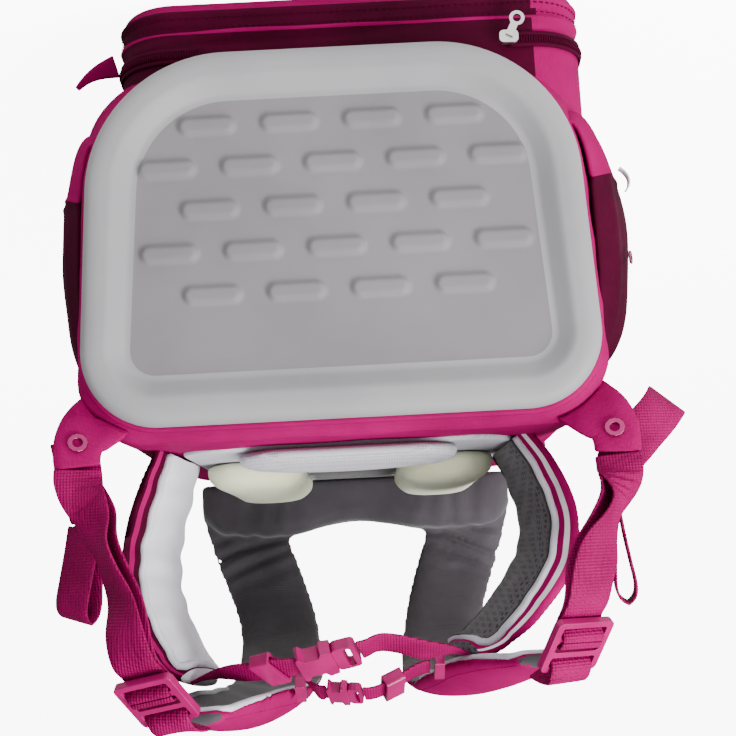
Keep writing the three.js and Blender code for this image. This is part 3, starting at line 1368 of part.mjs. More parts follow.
addPiece('base_tray', baseTray(), 'foam');
addPiece('base_piping', basePiping(), 'magenta');
addPiece('body_shell', bodyShell(), 'magenta');
addPiece('front_pocket', frontPocket(), 'magenta');
addPiece('pocket_zip', pocketZip(), 'deepMagenta');
addPiece('side_pocket_left', sidePocket(1, SIDE_FULLNESS.left), 'deepMagenta');
addPiece('side_pocket_right', sidePocket(-1, SIDE_FULLNESS.right), 'deepMagenta');
addPiece('lid', lid(), 'magenta');
addPiece('back_panel', backPanel(0), 'mesh');
addPiece('lumbar_pad', cushion({
  x: 0,
  y: BAG_HEIGHT * 0.2,
  width: LUMBAR_WIDTH,
  length: LUMBAR_HEIGHT,
  round: 30,
  foot: PANEL_Z + GAP,
  thickness: LUMBAR_THICKNESS,
}), 'paleGrey');
for (const [name, side] of [['back_pad_left', 1], ['back_pad_right', -1]]) {
  addPiece(name, cushion({
    x: side * BASE_WIDTH * 0.21,
    y: BAG_HEIGHT * 0.562,
    width: BACK_PAD_WIDTH,
    length: BACK_PAD_LENGTH,
    round: 26,
    foot: PANEL_Z + GAP,
    thickness: BACK_PAD_THICKNESS,
  }), 'palePad');
}
addPiece('yoke', yoke(0), 'lining');
for (const hand of ['left', 'right']) {
  addPiece(`shoulder_strap_${hand}`, shoulderStrap(STRAP_PULL[hand]), 'lining');
  addPiece(`hip_wing_${hand}`, hipWing(hand), 'deepMagenta');
  addPiece(`corner_tab_${hand}`, cornerTab(hand), 'magenta');
  const eyelet = tabEyelet(hand);
  addPiece(`tab_eyelet_${hand}`, eyelet.ring, 'steel').applyMatrix4(eyelet.matrix);
  addPiece(`ladder_lock_${hand}`, ladderLock(), 'plastic').applyMatrix4(LOCK_FRAME[hand]);
  addPiece(`lower_webbing_${hand}`, lowerWebbing(hand), 'magenta');
  addPiece(`webbing_tail_${hand}`, webbingTail(hand), 'magenta');
  addPiece(`strap_anchor_${hand}`, strapAnchor(hand), 'magenta');
  addPiece(`pull_loop_${hand}`, pullLoop(hand), 'magenta');
  addPiece(`hip_webbing_${hand}`, band(beltLine(hand), 12, BELT_WEBBING), 'magenta');
  addPiece(`chest_webbing_${hand}`, band(chestLine(hand), 9, CHEST_WEBBING), 'magenta');
  addChestClip(hand);
}
addBuckle('belt', BUCKLE_AT, BUCKLE_WAY, BELT_TILT, BUCKLE_WIDTH, BUCKLE_LENGTH, BUCKLE_THICKNESS);
addAdjuster('belt_adjuster', beltLine('left'), 0.5, BELT_WEBBING);
addBuckle('chest', CHEST_AT, CHEST_WAY, CHEST_TILT, CHEST_WEBBING + 6, CHEST_BUCKLE_LENGTH, CHEST_BUCKLE_THICKNESS);
addAdjuster('chest_adjuster', chestLine('right'), 0.5, CHEST_WEBBING);
addPiece('zip_slider', zipSlider(), 'steel').position.copy(sliderPlace(0));
const puller = addPiece('zip_puller', zipPuller(), 'steel');
puller.position.copy(sliderPlace(SLIDER_THICKNESS + GAP + PULLER_THICKNESS));
puller.rotation.set(-Math.PI / 2, THREE.MathUtils.degToRad(PULLER_LEAN), 0, 'YXZ');
addPiece('lid_clasp', lidClasp(), 'plastic');
addPiece('carry_handle', carryHandle(), 'magenta');
const drain = drainEyelet();
addPiece('side_eyelet', drain.ring, 'steel').applyMatrix4(drain.matrix);
addPiece('side_loop', smallLoop(), 'paleGrey');
addPiece('side_tab', sideTab(), 'magenta');

const RESTING_POINT = new THREE.Vector3(-POCKET_LEAN, POCKET_MIDDLE, 0);
for (const piece of group.children) piece.position.sub(RESTING_POINT);

export default group;
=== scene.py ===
# %% [markdown]
# # A school ransel, lying on its front
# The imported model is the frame: it says where every piece is and how big it is. This lesson dresses
# it. Hard pieces keep their solids and get a fine edge and a finish. Soft pieces are made again as
# cloth, foam and webbing in the same places, because a faceted solid can't show a fold or a seam.

# %% Load the frame
import math
from contextlib import contextmanager

import bmesh
import bpy
import numpy as np
from mathutils import Matrix, Vector
from mathutils.bvhtree import BVHTree
from mathutils.geometry import delaunay_2d_cdt


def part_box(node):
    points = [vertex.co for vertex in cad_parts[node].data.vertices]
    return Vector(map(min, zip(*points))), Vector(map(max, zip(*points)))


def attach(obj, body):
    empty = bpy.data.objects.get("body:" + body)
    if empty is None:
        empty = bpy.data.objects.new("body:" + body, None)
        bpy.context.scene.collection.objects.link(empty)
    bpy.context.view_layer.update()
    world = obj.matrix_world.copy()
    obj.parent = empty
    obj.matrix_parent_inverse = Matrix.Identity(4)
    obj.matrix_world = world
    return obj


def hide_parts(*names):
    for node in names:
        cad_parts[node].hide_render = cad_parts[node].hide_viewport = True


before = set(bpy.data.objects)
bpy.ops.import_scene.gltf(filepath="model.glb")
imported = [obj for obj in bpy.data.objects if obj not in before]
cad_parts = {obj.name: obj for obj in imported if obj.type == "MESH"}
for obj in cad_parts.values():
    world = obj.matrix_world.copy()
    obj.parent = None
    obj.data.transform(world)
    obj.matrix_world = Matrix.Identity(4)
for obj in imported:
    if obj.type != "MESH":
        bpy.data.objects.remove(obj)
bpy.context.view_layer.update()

MM = 0.001
print("nodes in the frame:", len(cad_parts))

# %% [markdown]
# The tray at the foot of the bag gives the measures that most other pieces follow. Places below are
# in millimetres from the middle of its lowest edge: x to the left strap, y up the bag, z off the floor.

# %% Measure the tray and set the bag's own ruler
tray_low, tray_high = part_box("base_tray")
BAG_ORIGIN = np.array([(tray_low.x + tray_high.x) / 2, tray_low.y, 0.0])
BASE_WIDTH = (tray_high.x - tray_low.x) / MM
FRONT_Z = tray_low.z / MM
BASE_BACK_Z = tray_high.z / MM
HALF = BASE_WIDTH / 2
BAG_HEIGHT = 400.0
CLOTH = 2.0


def to_frame(points):
    """Points of the bag's own ruler, in millimetres, as metres in the frame."""
    return np.asarray(points, float) * MM + BAG_ORIGIN


def from_frame(points):
    """Points of the frame, in metres, on the bag's own ruler."""
    return (np.asarray(points, float) - BAG_ORIGIN) / MM


print("base", round(BASE_WIDTH), "mm wide, from", round(FRONT_Z), "to", round(BASE_BACK_Z), "mm up")

# %% [markdown]
# The photograph shows the bag upside down, with the floor side on top, so the camera is rolled over
# by half a turn. It stands in front of the base, a little above it.

# %% Camera
CAMERA_AT = (-10.0, -700.0, 328.0)
PITCH = math.radians(8.3)
YAW = math.radians(-0.3)
ROLL = math.radians(3.0)
FOCAL = 1320.0
FRAME_SIDE = 736.0
SENSOR = 36.0


def camera_axes():
    forward = Vector((math.sin(YAW) * math.cos(PITCH), math.cos(YAW) * math.cos(PITCH), -math.sin(PITCH)))
    right = forward.cross(Vector((0, 0, 1))).normalized()
    up = right.cross(forward)
    picture_right = -right * math.cos(ROLL) + up * math.sin(ROLL)
    picture_down = right * math.sin(ROLL) + up * math.cos(ROLL)
    return picture_right, -picture_down, -forward


def add_object(name, data):
    made = bpy.data.objects.new(name, data)
    bpy.context.scene.collection.objects.link(made)
    return made


camera_data = bpy.data.cameras.new("photo_camera")
camera_data.lens = FOCAL * SENSOR / FRAME_SIDE
camera_data.sensor_width = SENSOR
camera = add_object("photo_camera", camera_data)
picture = Matrix.Identity(4)
for column, axis in enumerate(camera_axes()):
    for row in range(3):
        picture[row][column] = axis[row]
picture.translation = Vector(to_frame(CAMERA_AT))
camera.matrix_world = picture
bpy.context.scene.camera = camera
print("lens", round(camera_data.lens, 2), "mm")

# %% [markdown]
# The light is soft and comes from the side of the right strap, from above the harness. The backdrop is
# plain white, like a cut-out, so the sky looks white to the camera but lights the bag only a little. A
# Light Path node tells the two apart.

# %% Floor, sky and lamps
WHITE = (1.0, 1.0, 1.0, 1.0)
floor_mesh = bpy.data.meshes.new("floor")
REACH = 6.0
floor_mesh.from_pydata([(-REACH, -REACH, 0), (REACH, -REACH, 0), (REACH, REACH, 0), (-REACH, REACH, 0)], [],
                       [(0, 1, 2, 3)])
floor = add_object("floor", floor_mesh)

SKY_LIGHT = 0.24
BACKDROP_LIGHT = 9.0
sky = bpy.data.worlds.new("sky")
sky.use_nodes = True
sky_nodes = sky.node_tree.nodes
sky_nodes["Background"].inputs["Color"].default_value = WHITE
seen = sky_nodes.new("ShaderNodeLightPath")
strength = sky_nodes.new("ShaderNodeMapRange")
strength.inputs["To Min"].default_value = SKY_LIGHT
strength.inputs["To Max"].default_value = BACKDROP_LIGHT
sky.node_tree.links.new(seen.outputs["Is Camera Ray"], strength.inputs["Value"])
sky.node_tree.links.new(strength.outputs["Result"], sky_nodes["Background"].inputs["Strength"])
bpy.context.scene.world = sky

LAMPS = [
    {"name": "key", "at": (-900, -700, 900), "aim": (0, 100, 200), "size": 0.7, "watts": 34},
    {"name": "harness_side", "at": (-350, -650, 1300), "aim": (0, 100, 300), "size": 0.9, "watts": 22},
    {"name": "front", "at": (250, -1500, 260), "aim": (0, 0, 160), "size": 1.4, "watts": 4},
]


def add_lamp(name, at, aim, size, watts):
    lamp = bpy.data.lights.new(name, "AREA")
    lamp.shape = "SQUARE"
    lamp.size = size
    lamp.energy = watts
    holder = add_object(name, lamp)
    holder.location = to_frame(at)
    direction = Vector(to_frame(aim)) - holder.location
    holder.rotation_euler = direction.to_track_quat("-Z", "Y").to_euler()


for lamp in LAMPS:
    add_lamp(**lamp)
print("lamps:", [lamp["name"] for lamp in LAMPS])

# %% [markdown]
# ## Finishes
# Every finish is made of nodes. A weave is three sine waves, one along each axis, added up: whichever
# way a face looks, two of them cross on it as warp and weft. Slow noise shifts the colour a little,
# as dye and wear do, and quick noise roughens the surface like fibre.

# %% Small helpers for node trees


def add_node(material, kind, values=None, **settings):
    made = material.node_tree.nodes.new(kind)
    for name, value in settings.items():
        setattr(made, name, value)
    for name, value in (values or {}).items():
        made.inputs[name].default_value = value
    return made


def wire(material, source, socket, target, into):
    material.node_tree.links.new(source.outputs[socket], target.inputs[into])


def texture(material, kind, values=None, **settings):
    """A node that is laid out by the piece's own coordinates, in metres."""
    made = add_node(material, kind, values, **settings)
    wire(material, add_node(material, "ShaderNodeTexCoord"), "Object", made, 0)
    return made


def shader_of(material):
    return material.node_tree.nodes["Principled BSDF"]


def new_finish(name, colour, roughness, metallic=0.0, sheen=0.0, coat=0.0, specular=0.4):
    material = bpy.data.materials.new(name)
    material.use_nodes = True
    values = {"Base Color": (*colour, 1), "Roughness": roughness, "Metallic": metallic, "Sheen Weight": sheen,
              "Coat Weight": coat, "Specular IOR Level": specular}
    for socket, value in values.items():
        shader_of(material).inputs[socket].default_value = value
    return material


def colour_between(material, source, socket, low, high, start, end):
    """Colours the finish from low to high while a value climbs from start to end."""
    ramp = add_node(material, "ShaderNodeValToRGB")
    for stop, place, colour in zip(ramp.color_ramp.elements, (start, end), (low, high)):
        stop.position = place
        stop.color = (*colour, 1)
    wire(material, source, socket, ramp, "Fac")
    wire(material, ramp, "Color", shader_of(material), "Base Color")


def shade_by_noise(material, low, high, scale):
    noise = texture(material, "ShaderNodeTexNoise", {"Scale": scale, "Detail": 3.0, "Roughness": 0.55})
    colour_between(material, noise, "Fac", low, high, 0.35, 0.65)


def rough_by_noise(material, low, high, scale):
    noise = texture(material, "ShaderNodeTexNoise", {"Scale": scale, "Detail": 2.0})
    spread = add_node(material, "ShaderNodeMapRange", {"To Min": low, "To Max": high})
    wire(material, noise, "Fac", spread, "Value")
    wire(material, spread, "Result", shader_of(material), "Roughness")


def stack_bump(material, height_node, socket, distance, strength):
    """Adds a height to those that the finish already has."""
    shader = shader_of(material)
    bump = add_node(material, "ShaderNodeBump", {"Distance": distance, "Strength": strength})
    before = shader.inputs["Normal"].links
    if before:
        material.node_tree.links.new(before[0].from_socket, bump.inputs["Normal"])
    wire(material, height_node, socket, bump, "Height")
    wire(material, bump, "Normal", shader, "Normal")


def grain(material, scale, height, strength, detail=2.0, distortion=0.0):
    """A random relief. The scale is in bumps to a metre, and the height in metres."""
    noise = texture(material, "ShaderNodeTexNoise",
                    {"Scale": scale, "Detail": detail, "Distortion": distortion})
    stack_bump(material, noise, "Fac", height, strength)


def weave(material, thread, height, strength):
    """Sines along each axis, a thread apart in millimetres, added up."""
    spread = texture(material, "ShaderNodeVectorMath", operation="SCALE")
    spread.inputs["Scale"].default_value = 2 * math.pi / (thread * MM)
    waves = add_node(material, "ShaderNodeVectorMath", operation="SINE")
    total = add_node(material, "ShaderNodeVectorMath", operation="DOT_PRODUCT")
    total.inputs[1].default_value = (1, 1, 1)
    wire(material, spread, "Vector", waves, 0)
    wire(material, waves, "Vector", total, 0)
    stack_bump(material, total, "Value", height, strength)


def dyed(name, low, high, scale, roughness, **shine):
    """A finish whose colour drifts between two shades."""
    material = new_finish(name, high, roughness, **shine)
    shade_by_noise(material, low, high, scale)
    return material


print("node helpers ready")

# %% [markdown]
# Bag cloth is a fine plain weave in magenta. A near-black copy of it is painted shade on the front pocket's
# wall and stitches and on the left wing's outside, which lie in shade; the same copy also covers the zip and
# the back of the side pockets. The dye is uneven, and linings keep the small puckers of cloth that has been
# folded.

# %% Woven cloths
MAGENTA = (0.3, 0.0, 0.092)
MAGENTA_SHADE = (0.225, 0.0, 0.066)
# Painted shade: the near-black magenta below stands in for shade on the front pocket's wall, its stitches and
# the left wing's outside; it also colours the zip and the back of the side pockets.
SHADE_AND_DARK = (0.058, 0.0, 0.0155)
SHADE_AND_DARK_LOW = (0.033, 0.0, 0.0088)


def woven(name, low, high, thread, roughness, sheen=0.0, puckers=0.25, specular=0.25):
    material = dyed(name, low, high, 16.0, roughness, sheen=sheen, specular=specular)
    rough_by_noise(material, roughness - 0.08, roughness + 0.08, 60.0)
    grain(material, 70.0, 0.0012, puckers, detail=3.0, distortion=0.6)
    weave(material, thread, 0.00012, 0.35)
    return material


bag_cloth = woven("bag_cloth", MAGENTA_SHADE, MAGENTA, 0.7, 0.7, specular=0.03)
# The near-black copy of the bag cloth: painted shade where the cloth lies in shade, and the cloth of the zip
# and the back of the side pockets.
shade_and_dark_cloth = woven("shade_and_dark_cloth", SHADE_AND_DARK_LOW, SHADE_AND_DARK, 0.7, 0.7, specular=0.05)
lining = woven("lining", (0.03, 0.025, 0.031), (0.055, 0.047, 0.057), 0.9, 0.78, 0.25, 0.35)
pale_lining = woven("pale_lining", (0.58, 0.57, 0.63), (0.7, 0.69, 0.76), 0.8, 0.72, 0.4, 0.3)
pad_cloth = woven("pad_cloth", (0.76, 0.8, 0.5), (0.86, 0.89, 0.62), 0.9, 0.78, 0.4, 0.2)
print("cloths:", [cloth.name for cloth in (bag_cloth, shade_and_dark_cloth, lining, pale_lining, pad_cloth)])

# %% [markdown]
# Spacer fabrics are knitted with small open cells. A Voronoi pattern gives the cells: its distance to
# the nearest edge is low along the threads and high in the holes, for both the colour and the relief.

# %% Spacer meshes


def cellular(name, thread_colour, hole_colour, cell, roughness):
    material = new_finish(name, thread_colour, roughness, sheen=0.15)
    cells = texture(material, "ShaderNodeTexVoronoi", {"Scale": 1 / (cell * MM), "Randomness": 0.25},
                    feature="DISTANCE_TO_EDGE")
    colour_between(material, cells, "Distance", thread_colour, hole_colour, 0.12, 0.3)
    grain(material, 90.0, 0.0008, 0.2)
    stack_bump(material, cells, "Distance", 0.0006, 0.4)
    return material


air_mesh = cellular("air_mesh", (0.09, 0.085, 0.095), (0.012, 0.011, 0.013), 3.2, 0.7)
fine_mesh = cellular("fine_mesh", (0.5, 0.5, 0.55), (0.27, 0.26, 0.3), 1.5, 0.75)
print("meshes:", air_mesh.name, fine_mesh.name)

# %% [markdown]
# Webbing is a coarse weave with a slight shine. The moulded base is a dense foam with a fine grain, and
# buckles are smooth acetal with a soft gloss. Small metal is nickel or enamelled, a little scuffed. The
# floor is white paint that also glows to the camera, so that it blends with the sky.

# %% Webbing, foam, acetal and metal
webbing = dyed("webbing", (0.165, 0.0, 0.047), (0.24, 0.0, 0.072), 30.0, 0.6, specular=0.06)
rough_by_noise(webbing, 0.42, 0.6, 80.0)
weave(webbing, 1.6, 0.00025, 0.5)

foam = dyed("moulded_foam", (0.23, 0.225, 0.235), (0.27, 0.265, 0.275), 9.0, 0.62, sheen=0.1, specular=0.35)
grain(foam, 900.0, 0.00025, 0.12)

# The sunk panel's foam has a finer grain, and its darker colour is painted shade in the recess.
grain_and_shade_foam = dyed("grain_and_shade_foam", (0.158, 0.149, 0.157), (0.181, 0.172, 0.18), 12.0, 0.7, specular=0.25)
grain(grain_and_shade_foam, 1300.0, 0.0003, 0.2)

acetal = dyed("acetal", (0.24, 0.0, 0.072), (0.32, 0.0, 0.1), 40.0, 0.32, specular=0.3)
grain(acetal, 350.0, 0.0002, 0.1)

nickel = new_finish("nickel", (0.62, 0.61, 0.6), 0.26, metallic=1.0)
rough_by_noise(nickel, 0.18, 0.42, 400.0)
grain(nickel, 500.0, 0.0001, 0.2)

enamel = new_finish("enamelled_metal", (0.3, 0.02, 0.11), 0.22, metallic=0.9, coat=0.4)
rough_by_noise(enamel, 0.15, 0.35, 300.0)
grain(enamel, 400.0, 0.0001, 0.2)

reflective = dyed("reflective_tape", (0.72, 0.7, 0.74), (0.9, 0.88, 0.9), 60.0, 0.35, metallic=0.3)
weave(reflective, 1.0, 0.00008, 0.3)

piping_cloth = dyed("grey_piping", (0.48, 0.48, 0.54), (0.6, 0.6, 0.66), 50.0, 0.55, sheen=0.2)
weave(piping_cloth, 0.8, 0.0001, 0.4)

binding = dyed("black_binding", (0.008, 0.007, 0.009), (0.02, 0.018, 0.02), 70.0, 0.6, sheen=0.2)
weave(binding, 0.8, 0.0001, 0.5)

floor_paint = dyed("floor_paint", (0.92, 0.92, 0.92), (0.94, 0.94, 0.94), 3.0, 0.9, specular=0.1)
floor_seen = add_node(floor_paint, "ShaderNodeLightPath")
floor_glow = add_node(floor_paint, "ShaderNodeMath", operation="MULTIPLY")
floor_glow.inputs[1].default_value = BACKDROP_LIGHT
shader_of(floor_paint).inputs["Emission Color"].default_value = WHITE
wire(floor_paint, floor_seen, "Is Camera Ray", floor_glow, 0)
wire(floor_paint, floor_glow, "Value", shader_of(floor_paint), "Emission Strength")
floor.data.materials.append(floor_paint)
print("finishes:", len(bpy.data.materials))

# %% [markdown]
# ## Helpers for soft shapes
# Most soft pieces are lofts: rings of points along a line. A spline through a few rows of sizes gives
# the rings, and the rings give a mesh with a UV map in metres. Folds are added to the points before
# the mesh is made: low random waves for slack, and rows of ridges where cloth is pushed together.

# %% Splines, outlines and waves


def spline(rows, shares):
    """Smooth values through rows of numbers. Shares run from 0 at the first row to 1 at the last."""
    rows = np.asarray(rows, float)
    place = np.clip(shares, 0, 1) * (len(rows) - 1)
    index = np.minimum(place.astype(int), len(rows) - 2)
    part = (place - index)[:, None]
    here, there = rows[index], rows[index + 1]
    before, after = rows[np.maximum(index - 1, 0)], rows[np.minimum(index + 2, len(rows) - 1)]
    leave, arrive = (there - before) / 2, (after - here) / 2
    rise = there - here
    return here + part * (leave + part * (3 * rise - 2 * leave - arrive + part * (leave + arrive - 2 * rise)))


def named(columns, rows):
    """Rows whose columns have names, given once above them."""
    return [dict(zip(columns.split(), row)) for row in rows]


def table(rows):
    return np.array([list(row.values()) for row in rows], float)


def rounded_loop(corners, arc=14, edge=10):
    """Corners are (u, v, radius); each becomes an arc, and each edge between them gets even steps."""
    arcs = []
    for i, (u, v, radius) in enumerate(corners):
        here = np.array([u, v])
        back = np.array(corners[i - 1][:2]) - here
        ahead = np.array(corners[(i + 1) % len(corners)][:2]) - here
        back, ahead = back / np.linalg.norm(back), ahead / np.linalg.norm(ahead)
        half = math.acos(np.clip(back @ ahead, -1, 1)) / 2
        middle = (back + ahead) / np.linalg.norm(back + ahead)
        centre = here + middle * radius / math.sin(half)
        start = here + back * radius / math.tan(half) - centre
        end = here + ahead * radius / math.tan(half) - centre
        turn = math.atan2(start[0] * end[1] - start[1] * end[0], start @ end)
        angles = turn * np.arange(arc + 1) / arc
        turned = np.stack([start[0] * np.cos(angles) - start[1] * np.sin(angles),
                           start[0] * np.sin(angles) + start[1] * np.cos(angles)], 1)
        arcs.append(turned + centre)
    loop = []
    for i, points in enumerate(arcs):
        after = arcs[(i + 1) % len(arcs)][0]
        steps = (np.arange(1, edge) / edge)[:, None]
        loop += [points, points[-1] + (after - points[-1]) * steps]
    return np.concatenate(loop)


def rectangle(half_u, half_v, corner):
    return [(u * half_u, v * half_v, corner) for u, v in ((1, -1), (1, 1), (-1, 1), (-1, -1))]


def tapered(front, back, half_front, half_back, round_front, round_back):
    """The four corners of a section across the bag, as (x, z, radius)."""
    return [(half_front, front, round_front), (half_back, back, round_back),
            (-half_back, back, round_back), (-half_front, front, round_front)]


def standing(loop, y):
    """Points (x, z) as a loop across the bag, y up it."""
    return np.stack([loop[:, 0], np.broadcast_to(y, len(loop)), loop[:, 1]], 1)


def lying(loop, x, y, z):
    """Points (x, y) as a level loop round a place."""
    return np.stack([loop[:, 0] + x, loop[:, 1] + y, np.full(len(loop), z)], 1)


WAVES = 7


def ripple(points, size, seed):
    """Soft random waves of about that size, in millimetres, mostly from -1 to 1."""
    dice = np.random.default_rng(seed)
    total = np.zeros(np.shape(points)[:-1])
    for _ in range(WAVES):
        way = dice.normal(size=3)
        turns = 2 * math.pi / (size * dice.uniform(0.7, 1.5))
        total += np.sin(points @ (way / np.linalg.norm(way)) * turns + dice.uniform(0, 2 * math.pi))
    return total / math.sqrt(WAVES)


def run_lengths(path):
    """How far along a path each of its points is, from 0 at the first."""
    return np.concatenate([[0], np.cumsum(np.linalg.norm(np.diff(path, axis=0), axis=1))])


def even(path, step=2.0):
    """The same path with a point every step."""
    length = run_lengths(path)
    stops = np.arange(0, length[-1], step)
    return np.stack([np.interp(stops, length, path[:, k]) for k in range(3)], 1)


def smooth(value, low, high):
    part = np.clip((value - low) / (high - low), 0, 1)
    return part * part * (3 - 2 * part)


def hill(value, middle, width):
    return np.exp(-((value - middle) / width) ** 2)


print("spline check:", spline([[0.0], [1.0], [0.0]], np.array([0.5]))[0])

# %% [markdown]
# A grid of points becomes a mesh: each square of four neighbours is a face, and a closed ring joins its
# last column to its first. Sheets get their wall from a Solidify modifier, and tubes are rings round a
# path that turn with it and don't twist.

# %% Meshes from rings


def facing(grid, wrap):
    """The unit normals of a grid of points: rows along a piece, columns round it."""
    along = np.gradient(grid, axis=0)
    if wrap:
        around = (np.roll(grid, -1, 1) - np.roll(grid, 1, 1)) / 2
    else:
        around = np.gradient(grid, axis=1)
    out = np.cross(around, along)
    return out / np.maximum(np.linalg.norm(out, axis=2, keepdims=True), 1e-9)


def make_piece(name, mesh, slot_name, *nodes):
    piece = add_object(name, mesh)
    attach(piece, "root")
    if nodes:
        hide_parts(*nodes)
    return piece


@contextmanager
def edited(mesh):
    """Opens a mesh for editing and writes it back."""
    shape = bmesh.new()
    shape.from_mesh(mesh)
    yield shape
    shape.to_mesh(mesh)
    shape.free()


def ring_mesh(name, grid, wrap=True, capped=False, paint=None, finishes=()):
    """A mesh through a grid of points on the bag's ruler. paint(row, column) numbers the finish."""
    rows, columns = grid.shape[:2]
    points = to_frame(grid).reshape(-1, 3)
    spans = columns if wrap else columns - 1
    r, c = np.meshgrid(np.arange(rows - 1), np.arange(spans), indexing="ij")
    after = (c + 1) % columns
    here, above = r * columns, (r + 1) * columns
    faces = np.stack([here + c, here + after, above + after, above + c], -1).reshape(-1, 4)
    around = run_lengths(grid[rows // 2])
    if wrap:
        around = np.append(around, around[-1] + np.linalg.norm(grid[rows // 2, 0] - grid[rows // 2, -1]))
    along = run_lengths(grid.mean(axis=1))
    around, along = (around - around.mean()) * MM, along * MM
    uv = np.stack([around[c], along[r], around[c + 1], along[r], around[c + 1], along[r + 1], around[c],
                   along[r + 1]], -1).reshape(-1)
    everything = faces.tolist()
    if capped:
        last = (rows - 1) * columns
        everything += [list(range(columns))[::-1], list(range(last, last + columns))]
        uv = np.append(uv, np.zeros(4 * columns))
    mesh = bpy.data.meshes.new(name)
    mesh.from_pydata(points.tolist(), [], everything)
    mesh.uv_layers.new(name="length_and_width").data.foreach_set("uv", uv.astype(np.float32))
    mesh.polygons.foreach_set("use_smooth", np.ones(len(everything), bool))
    for finish in finishes:
        mesh.materials.append(finish)
    if paint is not None:
        chosen = paint(r, c).reshape(-1).astype(int)
        numbers = np.append(chosen, [0, 0] if capped else []).astype(np.int32)
        mesh.polygons.foreach_set("material_index", numbers)
    if wrap and capped:
        with edited(mesh) as shape:
            bmesh.ops.recalc_face_normals(shape, faces=shape.faces)
    return mesh


def thicken(piece, thickness):
    """Gives a sheet its wall, away from the side that its faces look to."""
    wall = piece.modifiers.new("wall", "SOLIDIFY")
    wall.thickness = thickness * MM
    wall.offset = -1.0


def face_away_from(mesh, point):
    """Turns a whole sheet so that its faces look away from a point on the bag's ruler."""
    middle = Vector(to_frame(point))
    vote = sum((face.center - middle).dot(face.normal) * face.area for face in mesh.polygons)
    if vote < 0:
        mesh.flip_normals()


def sheet(name, grid, inside, wall, slot_name, node, **look):
    """A cloth of the bag with its wall, whose outside looks away from a point inside."""
    mesh = ring_mesh(name, grid, **look)
    face_away_from(mesh, inside)
    thicken(make_piece(name, mesh, slot_name, node), wall)
    print(name, len(mesh.polygons), "faces")


def tube_grid(path, radius, sides=10, closed=False):
    """Rings round a path. radius is one number or one for each point."""
    path = np.asarray(path, float)
    radius = np.broadcast_to(radius, len(path))
    if closed:
        along = np.roll(path, -1, 0) - np.roll(path, 1, 0)
    else:
        along = np.gradient(path, axis=0)
    along /= np.maximum(np.linalg.norm(along, axis=1, keepdims=True), 1e-9)
    out = np.cross(along[0], [0.3, 0.2, 0.93])
    frames = []
    for way in along:
        out = out - way * (out @ way)
        out /= np.linalg.norm(out)
        frames.append((out, np.cross(way, out)))
    angles = 2 * math.pi * np.arange(sides) / sides
    return np.array([p + r * (np.cos(angles)[:, None] * a + np.sin(angles)[:, None] * b)
                     for p, r, (a, b) in zip(path, radius, frames)])


def tube(name, path, radius, finish, slot_name, *nodes, sides=10, closed=False):
    grid = tube_grid(path, radius, sides, closed)
    if closed:
        grid = np.concatenate([grid, grid[:1]])
        mesh = ring_mesh(name, grid, finishes=[finish])
        with edited(mesh) as shape:
            bmesh.ops.remove_doubles(shape, verts=shape.verts, dist=1e-7)
            bmesh.ops.recalc_face_normals(shape, faces=shape.faces)
    else:
        mesh = ring_mesh(name, grid, capped=True, finishes=[finish])
    return make_piece(name, mesh, slot_name, *nodes)


print("mesh helpers ready")

# %% [markdown]
# ## The moulded base
# The real base is one moulding of dense foam: a broad round rim, a slope, and a sunk panel with soft
# raised grips. The rim is lofted from rings. The panel is a fine grid that is joined to the last ring
# by a triangulation, so that the grips can be raised anywhere without a seam.

# %% Base tray
PANEL_DEPTH = 8.0
PANEL_STEP = 1.25
FRONT_SHARE = 0.466
ROUND_FRONT = 80.0
ROUND_BACK = 42.0
TRAY_PROFILE = table(named("inset depth", [
    (1.35, 16.6),
    (1.35, 11.2),
    (0.1, 10.8),
    (-0.1, 8.0),
    (0.8, 4.4),
    (3.5, 1.3),
    (7.6, 0.05),
    (12.0, 0.05),
    (16.2, 1.0),
    (21.6, 5.2),
    (24.8, 7.5),
    (28.0, PANEL_DEPTH),
]))


def base_outline(inset):
    corners = tapered(FRONT_Z + inset, BASE_BACK_Z - inset, BASE_WIDTH * FRONT_SHARE - inset, HALF - inset,
                      ROUND_FRONT - inset, ROUND_BACK - inset)
    return rounded_loop(corners, 22, 14)


GRIP_ROWS = [{"z": 84.0 + 24.0 * k, "count": 4 + k % 2} for k in range(5)]
GRIP_PITCH = 46.0
GRIP_HALF_LENGTH = 11.0
GRIP_RADIUS = 6.2
GRIP_HEIGHT = 2.6


def grip_height(u, v):
    """Soft raised bars in staggered rows, so that the bag doesn't slide."""
    height = np.zeros_like(u)
    for row in GRIP_ROWS:
        for k in range(row["count"]):
            middle = (k - (row["count"] - 1) / 2) * GRIP_PITCH
            past = np.maximum(np.abs(u - middle) - GRIP_HALF_LENGTH, 0)
            away = np.hypot(past, v - row["z"])
            height = np.maximum(height, GRIP_HEIGHT * (1 - smooth(away, GRIP_RADIUS * 0.45, GRIP_RADIUS)))
    return height


